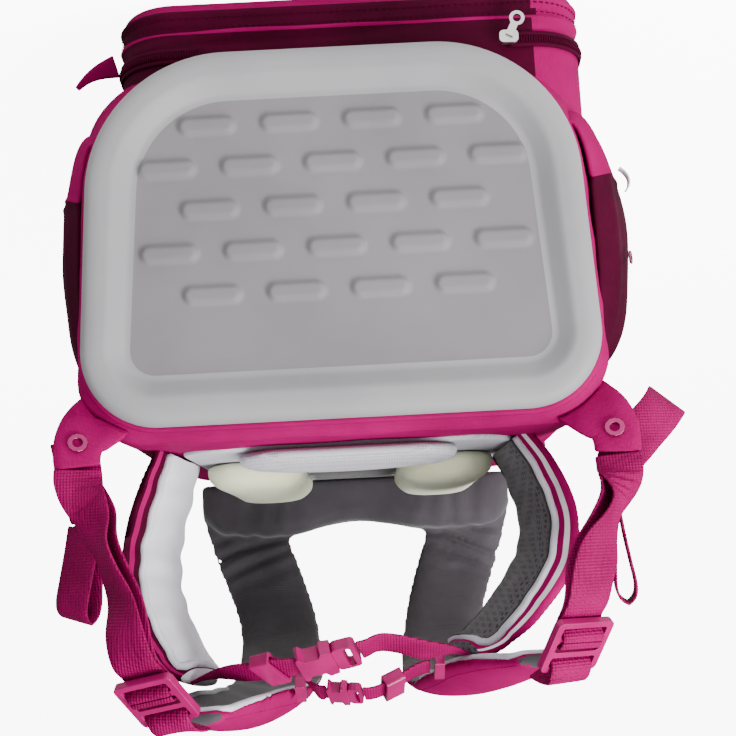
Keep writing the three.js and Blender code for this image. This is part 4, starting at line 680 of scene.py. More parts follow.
def build_tray():
    profile = spline(TRAY_PROFILE, np.linspace(0, 1, 60))
    rings = [base_outline(inset) for inset, _ in profile]
    grid = np.stack([standing(ring, depth) for ring, (_, depth) in zip(rings, profile)])
    edge = rings[-1]
    u, v = np.meshgrid(np.arange(-HALF, HALF, PANEL_STEP), np.arange(FRONT_Z, BASE_BACK_Z, PANEL_STEP))
    spots = np.stack([u.ravel(), v.ravel()], 1)
    field = np.concatenate([edge, spots[points_inside(spots, base_outline(profile[-1][0] + PANEL_STEP))]])
    links = [(k, (k + 1) % len(edge)) for k in range(len(edge))]
    flat, _, faces, _, _, _ = delaunay_2d_cdt([Vector(p) for p in field], links, [], 1, 1e-5)
    flat = np.array([tuple(p) for p in flat])
    raised = PANEL_DEPTH - grip_height(flat[:, 0], flat[:, 1])
    panel = standing(flat, raised)
    # The panel takes the second, darker foam: painted shade in the sunk panel, with its finer grain.
    mesh = ring_mesh("moulded_base", grid, finishes=[foam, grain_and_shade_foam])
    with edited(mesh) as shape:
        verts = [shape.verts.new(p) for p in to_frame(panel)]
        for corners in faces:
            face = shape.faces.new([verts[k] for k in corners])
            face.smooth = True
            face.material_index = 1
        shape.faces.new([shape.verts.new(p) for p in to_frame(grid[0])])
        bmesh.ops.remove_doubles(shape, verts=shape.verts, dist=2e-6)
        bmesh.ops.recalc_face_normals(shape, faces=shape.faces)
    return make_piece("moulded_base", mesh, "foam_base", "base_tray")


def points_inside(points, loop):
    """Which points lie inside a loop, by counting the edges that a ray to the right crosses."""
    x, y = points[:, 0], points[:, 1]
    inside = np.zeros(len(points), bool)
    for (ax, ay), (bx, by) in zip(loop, np.roll(loop, -1, 0)):
        spans = (ay > y) != (by > y)
        if ay != by:
            inside ^= spans & (x < ax + (y - ay) * (bx - ax) / (by - ay))
    return inside


tray = build_tray()
print("base tray:", len(tray.data.polygons), "faces")

# %% [markdown]
# A corded piping is sewn into the seam between the base and the bag: a round cord wrapped in bag
# cloth. It is a tube round the outline of the base, and the wrapping makes it a little uneven.

# %% Base piping
PIPING_RADIUS = 2.5
PIPING_OUT = 0.3
PIPING_DEPTH = 13.8
piping_path = standing(base_outline(-PIPING_OUT), PIPING_DEPTH)
piping_radius = PIPING_RADIUS * (1 + 0.05 * ripple(piping_path, 30, 3))
tube("base_seam_piping", piping_path, piping_radius, bag_cloth, "bag_cloth", "base_piping", closed=True)
print("piping:", round(float(np.linalg.norm(np.diff(piping_path, axis=0), axis=1).sum())), "mm long")

# %% [markdown]
# ## The bag
# The body is one tube of cloth, sewn to the base at its foot and open at the top. Its rings follow
# the rounded corners of the base and grow squarer towards the lid. Between the seams the cloth is
# slack: shallow waves run up it, and small gathers crowd at the seam round the base.

# %% Body
BODY_ROWS = named("climb front back half_front half_back round_front round_back", [
    (14.6, 43.4, 249.2, 135.2, 144.6, 73, 37),
    (22, 41.2, 259, 138.7, 149, 76, 40),
    (40, 42, 259, 141, 149.5, 48, 38),
    (68, 42, 259, 142, 149.5, 36, 37),
    (204.7, 42, 259, 141.3, 148.3, 36, 35.7),
    (228.9, 7.3, 259, 140.7, 147.8, 33.6, 33.6),
    (330, 7.3, 259, 139.6, 147.2, 32, 32.8),
    (360, 20.2, 258.2, 137.8, 145.4, 32, 31.5),
    (382, 37.8, 255.8, 134.9, 142.5, 32, 29.4),
])


def straight_rows(rows, count):
    """Values between rows in straight lines, spaced by the first column."""
    rows = table(rows)
    climb = np.linspace(rows[0, 0], rows[-1, 0], count)
    return np.stack([np.interp(climb, rows[:, 0], rows[:, k]) for k in range(rows.shape[1])], 1)


def body_grid():
    grid = np.stack([standing(rounded_loop(tapered(*sizes), 12, 22), climb)
                     for climb, *sizes in straight_rows(BODY_ROWS, 150)])
    climb = grid[..., 1]
    slack = smooth(climb, 20, 60) * (1 - smooth(climb, 190, 205))
    slow = ripple(grid * [1, 0.35, 1], 60, 11)
    gathers = np.sin(np.arange(grid.shape[1]) * 0.9) * hill(climb, 24, 9)
    return grid - facing(grid, True) * (slack * (0.9 + slow) * 0.9 + gathers * 0.5)[..., None]


sheet("bag_body", body_grid(), (0, 200, 150), CLOTH, "bag_cloth", "body_shell", finishes=[bag_cloth])

# %% [markdown]
# The front pocket is a box of cloth with piped edges. The bag rests on its flat face, so that face
# stays flat, and its walls show two seams and a long zip. Seams are thin ridges in the profile.

# %% Front pocket
POCKET_MIDDLE = 112.9
POCKET_SIDE = -13.0
POCKET_HALF = (136.5, 86.0)
POCKET_ROUND = 34.0
WALL_PROFILE = table(named("inset z", [
    (14.0, 0.0),
    (8.0, 0.6),
    (3.6, 2.6),
    (1.1, 6.5),
    (0.2, 11.0),
    (0.0, 20.0),
    (0.0, 30.0),
    (0.0, 41.5),
]))
POCKET_REACH = 88.0
POCKET_SEAMS = named("z rise width", [
    (9.5, 1.3, 1.7),
    (21.0, 0.8, 1.3),
])
# Painted shade on the pocket's wall: it is darkened in these bands of height, where it lies in shade near the
# floor, except at its right end past the given x, which is lit.
SHADE_BANDS = [(7.5, 18.8), (21.6, 60.0)]
LIT_END = -122.0


def pocket_loop(inset, z):
    corners = rectangle(POCKET_HALF[0] - inset, POCKET_HALF[1] - inset, POCKET_ROUND - inset)
    return lying(rounded_loop(corners, 16, 26), POCKET_SIDE, POCKET_MIDDLE, z)


def body_surface(x, y):
    """How far off the floor the front of the body is, where its corners curve away from the floor."""
    rows = table(BODY_ROWS)
    front, half, arc = [np.interp(y, rows[:, 0], rows[:, k]) for k in (1, 3, 5)]
    past = np.clip(np.abs(x) - (half - arc), 0, arc)
    return np.clip(front + arc - np.sqrt(arc ** 2 - past ** 2) + 1.5, 41.5, POCKET_REACH)


def outward_sign(grid):
    """1 where the grid's normals look out of its loops, -1 where they look in."""
    middle = grid.mean(axis=(0, 1))
    return 1.0 if np.sum((grid - middle) * facing(grid, True)) > 0 else -1.0


def pocket_grid():
    rings = [pocket_loop(POCKET_ROUND * 0.98 * share, 0.0) for share in (1.0, 0.9, 0.75, 0.6, 0.5)]
    for inset, z in spline(WALL_PROFILE, np.linspace(0, 1, 56)):
        ridge = sum(seam["rise"] * hill(z, seam["z"], seam["width"]) for seam in POCKET_SEAMS)
        rings.append(pocket_loop(inset - ridge, max(z, 0.0)))
    last = rings[-1]
    seam = body_surface(last[:, 0], last[:, 1])
    for share in np.linspace(0, 1, 14)[1:]:
        ring = last.copy()
        ring[:, 2] = last[:, 2] + share * (seam - last[:, 2])
        rings.append(ring)
    grid = np.stack(rings)
    slack = smooth(grid[..., 2], 10, 18) * (1 - smooth(grid[..., 2], 27, 31))
    dents = ripple(grid * [0.6, 0.6, 2.2], 34, 21)
    return grid - facing(grid, True) * (slack * (0.8 + dents) * 0.9)[..., None] * outward_sign(grid)


def pocket_shade_paint(grid):
    """Painted shade: darker in bands between the seams, where the wall lies in shade near the floor, and bag
    cloth at both seams and at the lit right end of the bag.
    """
    z = grid[..., 2].mean(axis=1)
    dark = np.any([(z > low) & (z < high) for low, high in SHADE_BANDS], axis=0)
    return lambda r, c: dark[r] & (grid[r, c, 0] > LIT_END)


POCKET_GRID = pocket_grid()
# The second finish on the pocket's wall is painted shade.
pocket_mesh = ring_mesh("front_pocket_cloth", POCKET_GRID, finishes=[bag_cloth, shade_and_dark_cloth],
                        paint=pocket_shade_paint(POCKET_GRID))
with edited(pocket_mesh) as shape:
    foot = [edge for edge in shape.edges if edge.is_boundary and max(v.co.z for v in edge.verts) < MM]
    bmesh.ops.contextual_create(shape, geom=foot)
face_away_from(pocket_mesh, (POCKET_SIDE, POCKET_MIDDLE, 30))
thicken(make_piece("front_pocket_cloth", pocket_mesh, "bag_cloth", "front_pocket"), CLOTH)
print("front pocket:", len(pocket_mesh.polygons), "faces")

# %% [markdown]
# A coil zip runs round the pocket: a woven tape, and a row of small loops that lock into each other.
# The loops repeat, so Geometry Nodes place them: one group turns a path into evenly spaced points and
# puts a small bead on each, turned along the path. The same group sews every row of stitches below.

# %% Beads along a path


def bead_group():
    group = bpy.data.node_groups.new("beads_along_a_path", "GeometryNodeTree")
    for name, way, kind in [("Geometry", "INPUT", "Geometry"), ("Spacing", "INPUT", "Float"),
                            ("Size", "INPUT", "Vector"), ("Finish", "INPUT", "Material"),
                            ("Geometry", "OUTPUT", "Geometry")]:
        group.interface.new_socket(name, in_out=way, socket_type="NodeSocket" + kind)
    kinds = ["NodeGroupInput", "GeometryNodeMeshToCurve", "GeometryNodeCurveToPoints",
             "FunctionNodeAlignRotationToVector", "GeometryNodeMeshUVSphere", "GeometryNodeInstanceOnPoints",
             "GeometryNodeRealizeInstances", "GeometryNodeSetMaterial", "NodeGroupOutput"]
    given, curve, points, turn, bead, place, real, coat, result = [group.nodes.new(kind) for kind in kinds]
    points.mode = "LENGTH"
    turn.axis = "X"
    bead.inputs["Segments"].default_value = 8
    bead.inputs["Rings"].default_value = 5
    bead.inputs["Radius"].default_value = 0.5
    links = [(given, "Geometry", curve, "Mesh"), (curve, "Curve", points, "Curve"),
             (given, "Spacing", points, "Length"), (points, "Points", place, "Points"),
             (points, "Tangent", turn, "Vector"), (turn, "Rotation", place, "Rotation"),
             (bead, "Mesh", place, "Instance"), (given, "Size", place, "Scale"),
             (place, "Instances", real, "Geometry"), (real, "Geometry", coat, "Geometry"),
             (given, "Finish", coat, "Material"), (coat, "Geometry", result, "Geometry")]
    for source, socket, target, into in links:
        group.links.new(source.outputs[socket], target.inputs[into])
    return group


BEADS = bead_group()


def apply_modifiers(piece):
    """Keeps what the modifiers have made as the piece's own mesh."""
    baked = bpy.data.meshes.new_from_object(piece.evaluated_get(bpy.context.evaluated_depsgraph_get()))
    piece.modifiers.clear()
    piece.data = baked
    baked.polygons.foreach_set("use_smooth", np.ones(len(baked.polygons), bool))


def beads(name, paths, spacing, size, finish):
    """Beads of a size (along, across, up) in millimetres, spaced along one or more paths."""
    points, edges = [], []
    for path in paths:
        edges += [(len(points) + k, len(points) + k + 1) for k in range(len(path) - 1)]
        points += to_frame(path).tolist()
    mesh = bpy.data.meshes.new(name + "_path")
    mesh.from_pydata(points, edges, [])
    holder = add_object(name, mesh)
    maker = holder.modifiers.new("beads", "NODES")
    maker.node_group = BEADS
    values = {"Spacing": spacing * MM, "Size": [side * MM for side in size], "Finish": finish}
    for item in BEADS.interface.items_tree:
        if item.in_out == "INPUT" and item.name in values:
            maker[item.identifier] = values[item.name]
    holder.update_tag()
    bpy.context.view_layer.update()
    apply_modifiers(holder)
    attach(holder, "root")


print("bead group:", len(BEADS.nodes), "nodes")

# %% [markdown]
# The tape is swept along the pocket's wall with a flat section that is thicker at its two edges. The
# coil is a row of beads down its middle. The zip runs round three sides of the pocket and a little
# way along the fourth, which faces the base.

# %% Zip
ZIP_Z = 35.3
ZIP_HALF = 4.5
ZIP_OUT = 0.4
LOOP_POINTS = 168
ZIP_SPAN = (-1.95, 143.4)
ZIP_PROFILE = table(named("z out", [
    (-ZIP_HALF, 0.2),
    (-ZIP_HALF, 1.0),
    (-2.6, 1.25),
    (-2.2, 0.9),
    (2.2, 0.9),
    (2.6, 1.25),
    (ZIP_HALF, 1.0),
    (ZIP_HALF, 0.2),
]))


def along_pocket(out, z, count):
    """A path round the pocket's wall, where the zip runs."""
    loop = pocket_loop(-out, z)
    place = np.linspace(*ZIP_SPAN, count)
    index = np.floor(place).astype(int)
    part = (place - index)[:, None]
    return loop[index % LOOP_POINTS] * (1 - part) + loop[(index + 1) % LOOP_POINTS] * part


zip_columns = [along_pocket(out + ZIP_OUT, ZIP_Z + z, 360) for z, out in ZIP_PROFILE]
zip_mesh = ring_mesh("zip_tape", np.stack(zip_columns, 1), capped=True, finishes=[shade_and_dark_cloth])
make_piece("zip_tape", zip_mesh, "dark_cloth", "pocket_zip")
beads("zip_coil", [along_pocket(ZIP_OUT + 1.3, ZIP_Z, 900)], 1.5, (1.3, 1.7, 4.4), shade_and_dark_cloth)
print("zip:", len(zip_mesh.polygons), "faces in the tape")

# %% [markdown]
# The side pockets bulge like half barrels. Elastic in their hems gathers the cloth, so small pleats run
# down from the hem and fade out. The right one holds more cloth. On both, the part in front of the
# seam that runs up the wall is of the lighter cloth.

# %% Side pockets
SIDE_ROWS = table(named("climb bulge width", [
    (0.0, 0.1, 0.8),
    (0.05, 0.5, 0.92),
    (0.2, 0.86, 0.98),
    (0.45, 1.0, 1.0),
    (0.75, 0.97, 1.0),
    (1.0, 0.86, 0.98),
]))
SIDE_SUNK = 9.0
SIDE_BULGE = 32.0
SIDE_FOOT = 19.9
SIDE_HEIGHT = 190.0
SIDE_HALF = 79.0
SIDE_MIDDLE = 150.7
SEAM_ANGLE = 62.0


def side_grid(side, fullness, seed, rows=110, columns=100):
    climb = np.linspace(0, 1, rows)
    bulge = np.interp(climb, SIDE_ROWS[:, 0], SIDE_ROWS[:, 1])[:, None]
    half = np.interp(climb, SIDE_ROWS[:, 0], SIDE_ROWS[:, 2])[:, None] * SIDE_HALF
    angle = np.linspace(0, math.pi, columns)[None, :]
    out = (SIDE_SUNK + bulge * SIDE_BULGE * fullness) * np.sin(angle) ** 0.8
    tall = np.broadcast_to(SIDE_FOOT + climb[:, None] * SIDE_HEIGHT, out.shape)
    flat = np.stack([np.zeros_like(out), tall, SIDE_MIDDLE - half * np.cos(angle)], -1)
    pleats = np.sin(angle * 46 + 2 * ripple(flat, 60, seed)) * smooth(climb[:, None], 0.72, 0.97)
    hem = hill(climb[:, None], 0.955, 0.012) * 1.2
    seam = hill(np.degrees(angle), SEAM_ANGLE, 1.6) * 1.1
    slack = ripple(flat * [1, 0.6, 1], 46, seed + 1) * 1.3 * np.sin(math.pi * climb[:, None]) * np.sin(angle)
    folds = ripple(flat * [1, 1, 0.4], 22, seed + 2) * 0.7 * (1 - smooth(climb[:, None], 0.1, 0.4))
    out = out + (pleats * 0.8 - hem + seam + slack + folds - 0.6) * np.sin(angle) ** 0.5
    grid = flat.copy()
    grid[..., 0] = side * (HALF - SIDE_SUNK + out)
    return grid


SIDES = named("node side fullness seed", [
    ("side_pocket_left", 1, 0.68, 31),
    ("side_pocket_right", -1, 1.0, 41),
])
for row in SIDES:
    grid = side_grid(row["side"], row["fullness"], row["seed"])
    front = int(grid.shape[1] * SEAM_ANGLE / 180)
    sheet(row["node"] + "_cloth", grid, (0, 100, SIDE_MIDDLE), CLOTH, "dark_cloth", row["node"], wrap=False,
          finishes=[shade_and_dark_cloth, bag_cloth], paint=lambda r, c, front=front: c < front)

# %% [markdown]
# The lid is one stiff skin. It follows a path from the back edge over the top and down the front, and
# its section is a shallow channel whose walls hug the bag. Two seams run along its edges.

# %% Lid
LID_HALF = 155.5
LID_CORNER = 14.0
LID_FLANGE = 30.0
LID_WALL = 7.0
LID_FOOT = 221.9
LID_ROUND = 60.0


def lid_path():
    turn = np.linspace(0, math.pi / 2, 30)
    arc = np.stack([340 + LID_ROUND * np.cos(turn), LID_ROUND - LID_ROUND * np.sin(turn)], 1)
    path = np.concatenate([[(394.4, 251.0), (398.6, 212.0), (400.0, 171.0), (400.0, 109.0)], arc,
                           [(281.0, 0.0), (LID_FOOT, 0.0)]])
    length = run_lengths(path)
    stops = np.linspace(0, length[-1], 90)
    return np.stack([np.interp(stops, length, path[:, k]) for k in (0, 1)], 1)


def lid_section():
    turn = np.linspace(0, math.pi / 2, 16)
    near = np.stack([LID_HALF - LID_CORNER * (1 - np.cos(turn)), LID_CORNER * (np.sin(turn) - 1)], 1)
    wall = np.stack([np.full(10, LID_HALF), np.linspace(-LID_FLANGE, -LID_CORNER, 11)[:-1]], 1)
    top = np.linspace(LID_HALF - LID_CORNER, LID_CORNER - LID_HALF, 80)[1:-1]
    half = np.concatenate([wall, near])
    return np.concatenate([half, np.stack([top, np.zeros(len(top))], 1), (half * [-1, 1])[::-1]])


def lid_grid():
    path = lid_path()
    along = np.gradient(path, axis=0)
    along /= np.linalg.norm(along, axis=1, keepdims=True)
    out = np.stack([-along[:, 1], along[:, 0]], 1)
    section = lid_section()
    seams = hill(np.abs(section[:, 0]), LID_HALF - 22, 1.6) * 0.9
    grid = np.zeros((len(path), len(section), 3))
    grid[..., 0] = section[:, 0]
    lift = section[:, 1] + seams
    grid[..., 1] = path[:, :1] + out[:, :1] * lift
    grid[..., 2] = np.maximum(path[:, 1:] + out[:, 1:] * lift, 0)
    dents = ripple(grid, 80, 51) * 0.8 * smooth(grid[..., 2], 4, 30)
    grid[..., 1] -= np.abs(dents) * out[:, :1]
    grid[..., 2] -= np.abs(dents) * out[:, 1:]
    return grid


sheet("lid_cloth", lid_grid(), (0, 250, 150), LID_WALL, "bag_cloth", "lid", wrap=False,
      finishes=[bag_cloth])

# %% [markdown]
# Cushions are closed rings that shrink as they rise. The cloth of a real pad is pulled tight over its
# foam, so each pad but the flat back panel is remeshed and blown up a little by a short cloth simulation,
# which gives it the uneven fullness that a formula doesn't.

# %% Back panel and pads
CUSHION_ROWS = table(named("inset lift", [
    (0.1, 0.0),
    (0.0, 0.3),
    (0.2, 0.72),
    (0.65, 0.95),
    (1.3, 1.0),
]))
PADS = named("node x y width length round foot thick finish slot full", [
    ("back_panel", 0, 216, 196, 322, 30, 259.3, 3.0, fine_mesh, "mesh", 0.0),
    ("lumbar_pad", 0, 80, 130, 78, 30, 262.6, 9.0, fine_mesh, "pale_lining", 0.6),
    ("back_pad_left", 61.3, 224.8, 62, 206, 26, 262.6, 18.0, pad_cloth, "back_pad", 0.7),
    ("back_pad_right", -61.3, 224.8, 62, 206, 26, 262.6, 18.0, pad_cloth, "back_pad", 0.7),
])
CHANNEL_HALF = 33.0
CHANNEL_FOOT = 100.0
SETTLE_FRAMES = 20
SETTLE_VOXEL = 4.5
PRESSURE = 4.0
MOST_MOVE = 2.5


def cushion_grid(x, y, width, length, corner, foot, thick):
    rows = spline(CUSHION_ROWS, np.linspace(0, 1, 30)) * thick
    inner = np.linspace(0.12, 0.94, 12)
    rings = []
    for inset, lift in rows:
        loop = rounded_loop(rectangle(width / 2 - inset, length / 2 - inset, max(corner - inset, 1)), 12, 14)
        rings.append(lying(loop, x, y, foot + lift))
    middle = np.array([x, y, foot + thick])
    for share in inner:
        rings.append(rings[len(rows) - 1] * (1 - share) + middle * share)
    return np.stack(rings)


def settle(piece):
    """Blows a pad up by a short cloth simulation, and keeps no more than a small part of the movement."""
    remesh_finely(piece, SETTLE_VOXEL)
    before = np.array([tuple(v.co) for v in piece.data.vertices])
    foot = piece.vertex_groups.new(name="foot")
    low = before[:, 2].min()
    foot.add([i for i in range(len(before)) if before[i, 2] < low + 1.5 * MM], 1.0, "REPLACE")
    cloth = piece.modifiers.new("cloth", "CLOTH").settings
    cloth.vertex_group_mass = "foot"
    cloth.use_pressure = True
    cloth.uniform_pressure_force = PRESSURE
    cloth.effector_weights.gravity = 0.0
    for step in range(1, SETTLE_FRAMES + 1):
        bpy.context.scene.frame_set(step)
    apply_modifiers(piece)
    bpy.context.scene.frame_set(1)
    after = np.array([tuple(v.co) for v in piece.data.vertices])
    move = after - before
    far = np.linalg.norm(move, axis=1, keepdims=True)
    move *= np.minimum(1.0, MOST_MOVE * MM / np.maximum(far, 1e-9))
    piece.data.vertices.foreach_set("co", (before + move).astype(np.float32).ravel())
    piece.data.update()
    finer = piece.modifiers.new("finer", "SUBSURF")
    finer.levels = finer.render_levels = 1


def remesh_finely(piece, voxel):
    remesh = piece.modifiers.new("remesh", "REMESH")
    remesh.mode = "VOXEL"
    remesh.voxel_size = voxel * MM
    apply_modifiers(piece)


for row in PADS:
    grid = cushion_grid(*[row[key] for key in ("x", "y", "width", "length", "round", "foot", "thick")])
    mesh = ring_mesh(row["node"] + "_cloth", grid, capped=True, finishes=[row["finish"]])
    piece = make_piece(row["node"] + "_cloth", mesh, row["slot"], row["node"])
    if row["node"] == "back_panel":
        piece.data.materials.append(lining)
        for face in piece.data.polygons:
            along_x, along_y = from_frame(face.center)[:2]
            face.material_index = int(abs(along_x) < CHANNEL_HALF and along_y > CHANNEL_FOOT)
    if row["full"]:
        settle(piece)
    print(row["node"], len(piece.data.polygons), "faces")

# %% [markdown]
# ## The harness
# Straps and wings are foam between two cloths: a lining against the body and bag cloth outside, closed
# by a light piping all round. Each is swept along a smooth line. Where a strap leaves the yoke it bends
# hard, and there the lining crumples into a few bold folds.

# %% Sweeps of padded sections


def swept(rows, count, across, section):
    """Rings along a spline through rows of x, y, z and sizes, as grids with one column for each point."""
    shares = np.linspace(0, 1, count)
    lines = spline(rows, shares)
    ahead, behind = [spline(rows, np.clip(shares + step, 0, 1))[:, :3] for step in (0.01, -0.01)]
    rings = []
    for line, way in zip(lines, ahead - behind):
        way = way / np.linalg.norm(way)
        wide = across - way * (across @ way)
        wide /= np.linalg.norm(wide)
        turn = math.radians(line[6])
        wide = wide * math.cos(turn) + np.cross(way, wide) * math.sin(turn)
        out = np.cross(wide, way)
        rings.append([line[:3] + wide * u + out * v for u, v in section(line)])
    return np.array(rings)


PAD_COUNT = 30
RIM_COLUMNS = 5
RIM_SHARE = RIM_COLUMNS / (PAD_COUNT - 1)
SHARES = -np.cos(np.pi * np.arange(PAD_COUNT) / (PAD_COUNT - 1))


def pad_section(width, crown, belly, sag=0.0):
    rise = 0.16 + 0.84 * (1 - SHARES ** 4)
    over = np.stack([SHARES * width / 2, crown * rise - sag * SHARES ** 2], 1)
    under = np.stack([SHARES * width / 2, -belly * rise - sag * SHARES ** 2], 1)
    return np.concatenate([over, under[::-1]])


def rim_path(grid, first, start, tip):
    """Down one side of the lining from a row on, across it near its tip, and up the other side."""
    left, right = along_face(grid, first, RIM_SHARE), along_face(grid, first, 1 - RIM_SHARE)
    shares = np.linspace(RIM_SHARE, 1 - RIM_SHARE, 12)
    across = np.array([along_face(grid, first, share)[-1 - tip] for share in shares[1:-1]])
    corner = tip + 3
    return np.concatenate([left[start:-corner], across, right[start:-corner][::-1]])


def lining_mask(rows, first, start, tip):
    """Where the lining shows: inside its rim, which is closed by outer cloth from a row on and at the tip."""
    def shows(r, c):
        column = c - first
        inside = (column >= RIM_COLUMNS) & (column < PAD_COUNT - 1 - RIM_COLUMNS) & (r < rows - 1 - tip)
        return inside | ((r < start) & (column >= 0) & (column < PAD_COUNT - 1))
    return shows


def along_face(grid, first, share):
    """A path along one face of a padded sweep. first is 0 over or PAD_COUNT under; share is 0 to 1 across."""
    place = share * (PAD_COUNT - 1)
    low = int(place)
    part = place - low
    return grid[:, first + low] * (1 - part) + grid[:, first + min(low + 1, PAD_COUNT - 1)] * part


print("sweep helpers ready")

# %% [markdown]
# Each strap leaves the yoke upwards, bends over and runs down above the back to its tip, where it
# narrows. The rows give its line as shares of the bag's own sizes. The left strap curls over along
# its edges, and the right one has dropped lower, leans outwards and stays flatter.

# %% Shoulder straps
STRAP_WIDTH = 64.0
STRAP_THICKNESS = 13.0
STRAP_REACH = 165.0
BACK_Z = 259.0
STRAP_ROWS = named("climb rise side wide thick sag", [
    (0.93, 0.1, 0.66, 0.96, 1, 0),
    (0.93, 0.24, 0.62, 0.96, 1, 0),
    (0.93, 0.36, 0.58, 0.95, 1, 0),
    (0.91, 0.52, 0.51, 0.94, 1, 0.1),
    (0.865, 0.68, 0.45, 0.94, 1, 0.2),
    (0.785, 0.83, 0.42, 0.96, 1, 0.35),
    (0.67, 0.93, 0.41, 0.98, 1, 0.6),
    (0.54, 0.98, 0.43, 1, 1, 0.85),
    (0.4, 1, 0.465, 1.04, 1, 1.1),
    (0.275, 1, 0.5, 1.05, 1, 1.25),
    (0.165, 0.98, 0.545, 0.88, 0.9, 0.9),
    (0.095, 0.955, 0.575, 0.6, 0.75, 0.4),
    (0.05, 0.94, 0.59, 0.42, 0.6, 0.1),
])
STRAP_PULL = named("hand side out drop sag seed", [
    ("left", 1, 0, 0.12, 1, 61),
    ("right", -1, 0.2, 0.45, 0.35, 71),
])
ACROSS_X = np.array([1.0, 0.0, 0.0])
ACROSS_Y = np.array([0.0, 1.0, 0.0])


def strap_rows(pull):
    rows = []
    for row in STRAP_ROWS:
        near = float(smooth(1 - row["climb"], 0.3, 0.85))
        rows.append([pull["side"] * (row["side"] * HALF + near * pull["out"] * STRAP_WIDTH),
                     row["climb"] * BAG_HEIGHT,
                     BACK_Z + row["rise"] * STRAP_REACH - near * pull["drop"] * STRAP_WIDTH,
                     row["wide"] * STRAP_WIDTH, row["thick"] * STRAP_THICKNESS,
                     row["sag"] * pull["sag"] * STRAP_THICKNESS, 0.0])
    return rows


def crumpled(grid, lengths, at, reach, pitch, height, columns, seed):
    """Raises a few folds across a sweep's lining, about one place along it."""
    folds = np.sin(2 * np.pi * lengths / pitch + 0.8 * ripple(grid, 40, seed)) * hill(lengths, at, reach)
    mask = np.zeros(grid.shape[1])
    mask[columns] = np.sin(np.pi * (np.arange(len(mask[columns])) + 0.5) / len(mask[columns])) ** 0.4
    out = facing(grid, True) * outward_sign(grid)
    return grid + out * ((folds * height - 0.4 * height * hill(lengths, at, reach)) * mask)[..., None]


def lengths_of(grid):
    return run_lengths(grid.mean(axis=1))[:, None]


LINING = slice(1, PAD_COUNT - 1)
STRAP_TIP = 5
STRAP_PIPED_FROM = 96
strap_seams, strap_meshes = [], []
for pull in STRAP_PULL:
    grid = swept(strap_rows(pull), 160, ACROSS_X,
                 lambda line: pad_section(line[3], line[4] / 2, line[4] / 2, -line[5]))
    lengths = lengths_of(grid)
    grid = crumpled(grid, lengths, 40, 26, 14.5, 4.4, LINING, pull["seed"])
    grid = crumpled(grid, lengths, 230, 90, 46, 0.8, LINING, pull["seed"] + 2)
    shows = lining_mask(len(grid), 0, STRAP_PIPED_FROM, STRAP_TIP)
    mesh = ring_mesh(f"strap_{pull['hand']}", grid, capped=True, finishes=[lining, bag_cloth],
                     paint=lambda r, c, shows=shows: ~shows(r, c))
    strap_meshes.append(mesh)
    rim = even(rim_path(grid, 0, STRAP_PIPED_FROM, STRAP_TIP))
    tube(f"strap_piping_{pull['hand']}", rim, 2.0, piping_cloth, "pale_lining", sides=12)
    strap_seams += [along_face(grid, PAD_COUNT, 0.2)[:-6], along_face(grid, PAD_COUNT, 0.8)[:-6]]
    print(mesh.name, len(mesh.polygons), "faces,", round(float(lengths[-1, 0])), "mm long")

# %% [markdown]
# The yoke is the cushion across the shoulders that both straps start from. It is swept from side to
# side with a section like a loaf. The straps pull on it, so its inner side is pleated at both bends.

# %% Yoke
YOKE_ROWS = table(named("side top depth", [
    (-1, 0.6, 0.7),
    (-0.9, 0.92, 0.96),
    (-0.7, 1, 1),
    (-0.42, 1, 1),
    (-0.2, 0.86, 0.92),
    (0, 0.8, 0.9),
    (0.2, 0.86, 0.92),
    (0.42, 1, 1),
    (0.7, 1, 1),
    (0.9, 0.92, 0.96),
    (1, 0.6, 0.7),
]))
YOKE_SPAN = 244.0
YOKE_RISE = 42.0
YOKE_DEPTH = 40.0
YOKE_Y = 367.2
YOKE_FOOT = 262.6
rings = []
for side, top, depth in spline(YOKE_ROWS, np.linspace(0, 1, 130)):
    height, half = top * YOKE_RISE, depth * YOKE_DEPTH / 2
    edge = min(height, half) * 0.62
    up, down, top_z = YOKE_Y + half, YOKE_Y - half, YOKE_FOOT + height
    loop = rounded_loop([(up, YOKE_FOOT, edge * 0.3), (up, top_z, edge), (down, top_z, edge),
                         (down, YOKE_FOOT, edge * 0.3)], 10, 12)
    rings.append(np.stack([np.full(len(loop), side * YOKE_SPAN / 2), loop[:, 0], loop[:, 1]], 1))
yoke_grid = np.stack(rings)
inward = smooth(YOKE_Y + 8 - yoke_grid[..., 1], 0, 18)
inward *= smooth(yoke_grid[..., 2], YOKE_FOOT + 1, YOKE_FOOT + 8)
bends = hill(np.abs(yoke_grid[..., 0]), 78, 34)
pleats = np.sin(yoke_grid[..., 0] * 0.36 + 1.2 * ripple(yoke_grid, 46, 81)) * bends
yoke_grid += (facing(yoke_grid, True) * outward_sign(yoke_grid)
              * ((pleats * 0.9 - 0.6 * bends + 0.8 * ripple(yoke_grid, 40, 82)) * inward)[..., None])
yoke_mesh = ring_mesh("yoke", yoke_grid, capped=True, finishes=[lining])
print("yoke:", len(yoke_mesh.polygons), "faces")

# %% [markdown]
# The yoke and the straps are one cushion in the real harness. Their three closed meshes are merged by
# a fine voxel remesh, the joint is smoothed, and every face takes the cloth of the surface it came from.

# %% Yoke and straps as one cushion
HARNESS_VOXEL = 2.3
SMOOTHING = 3


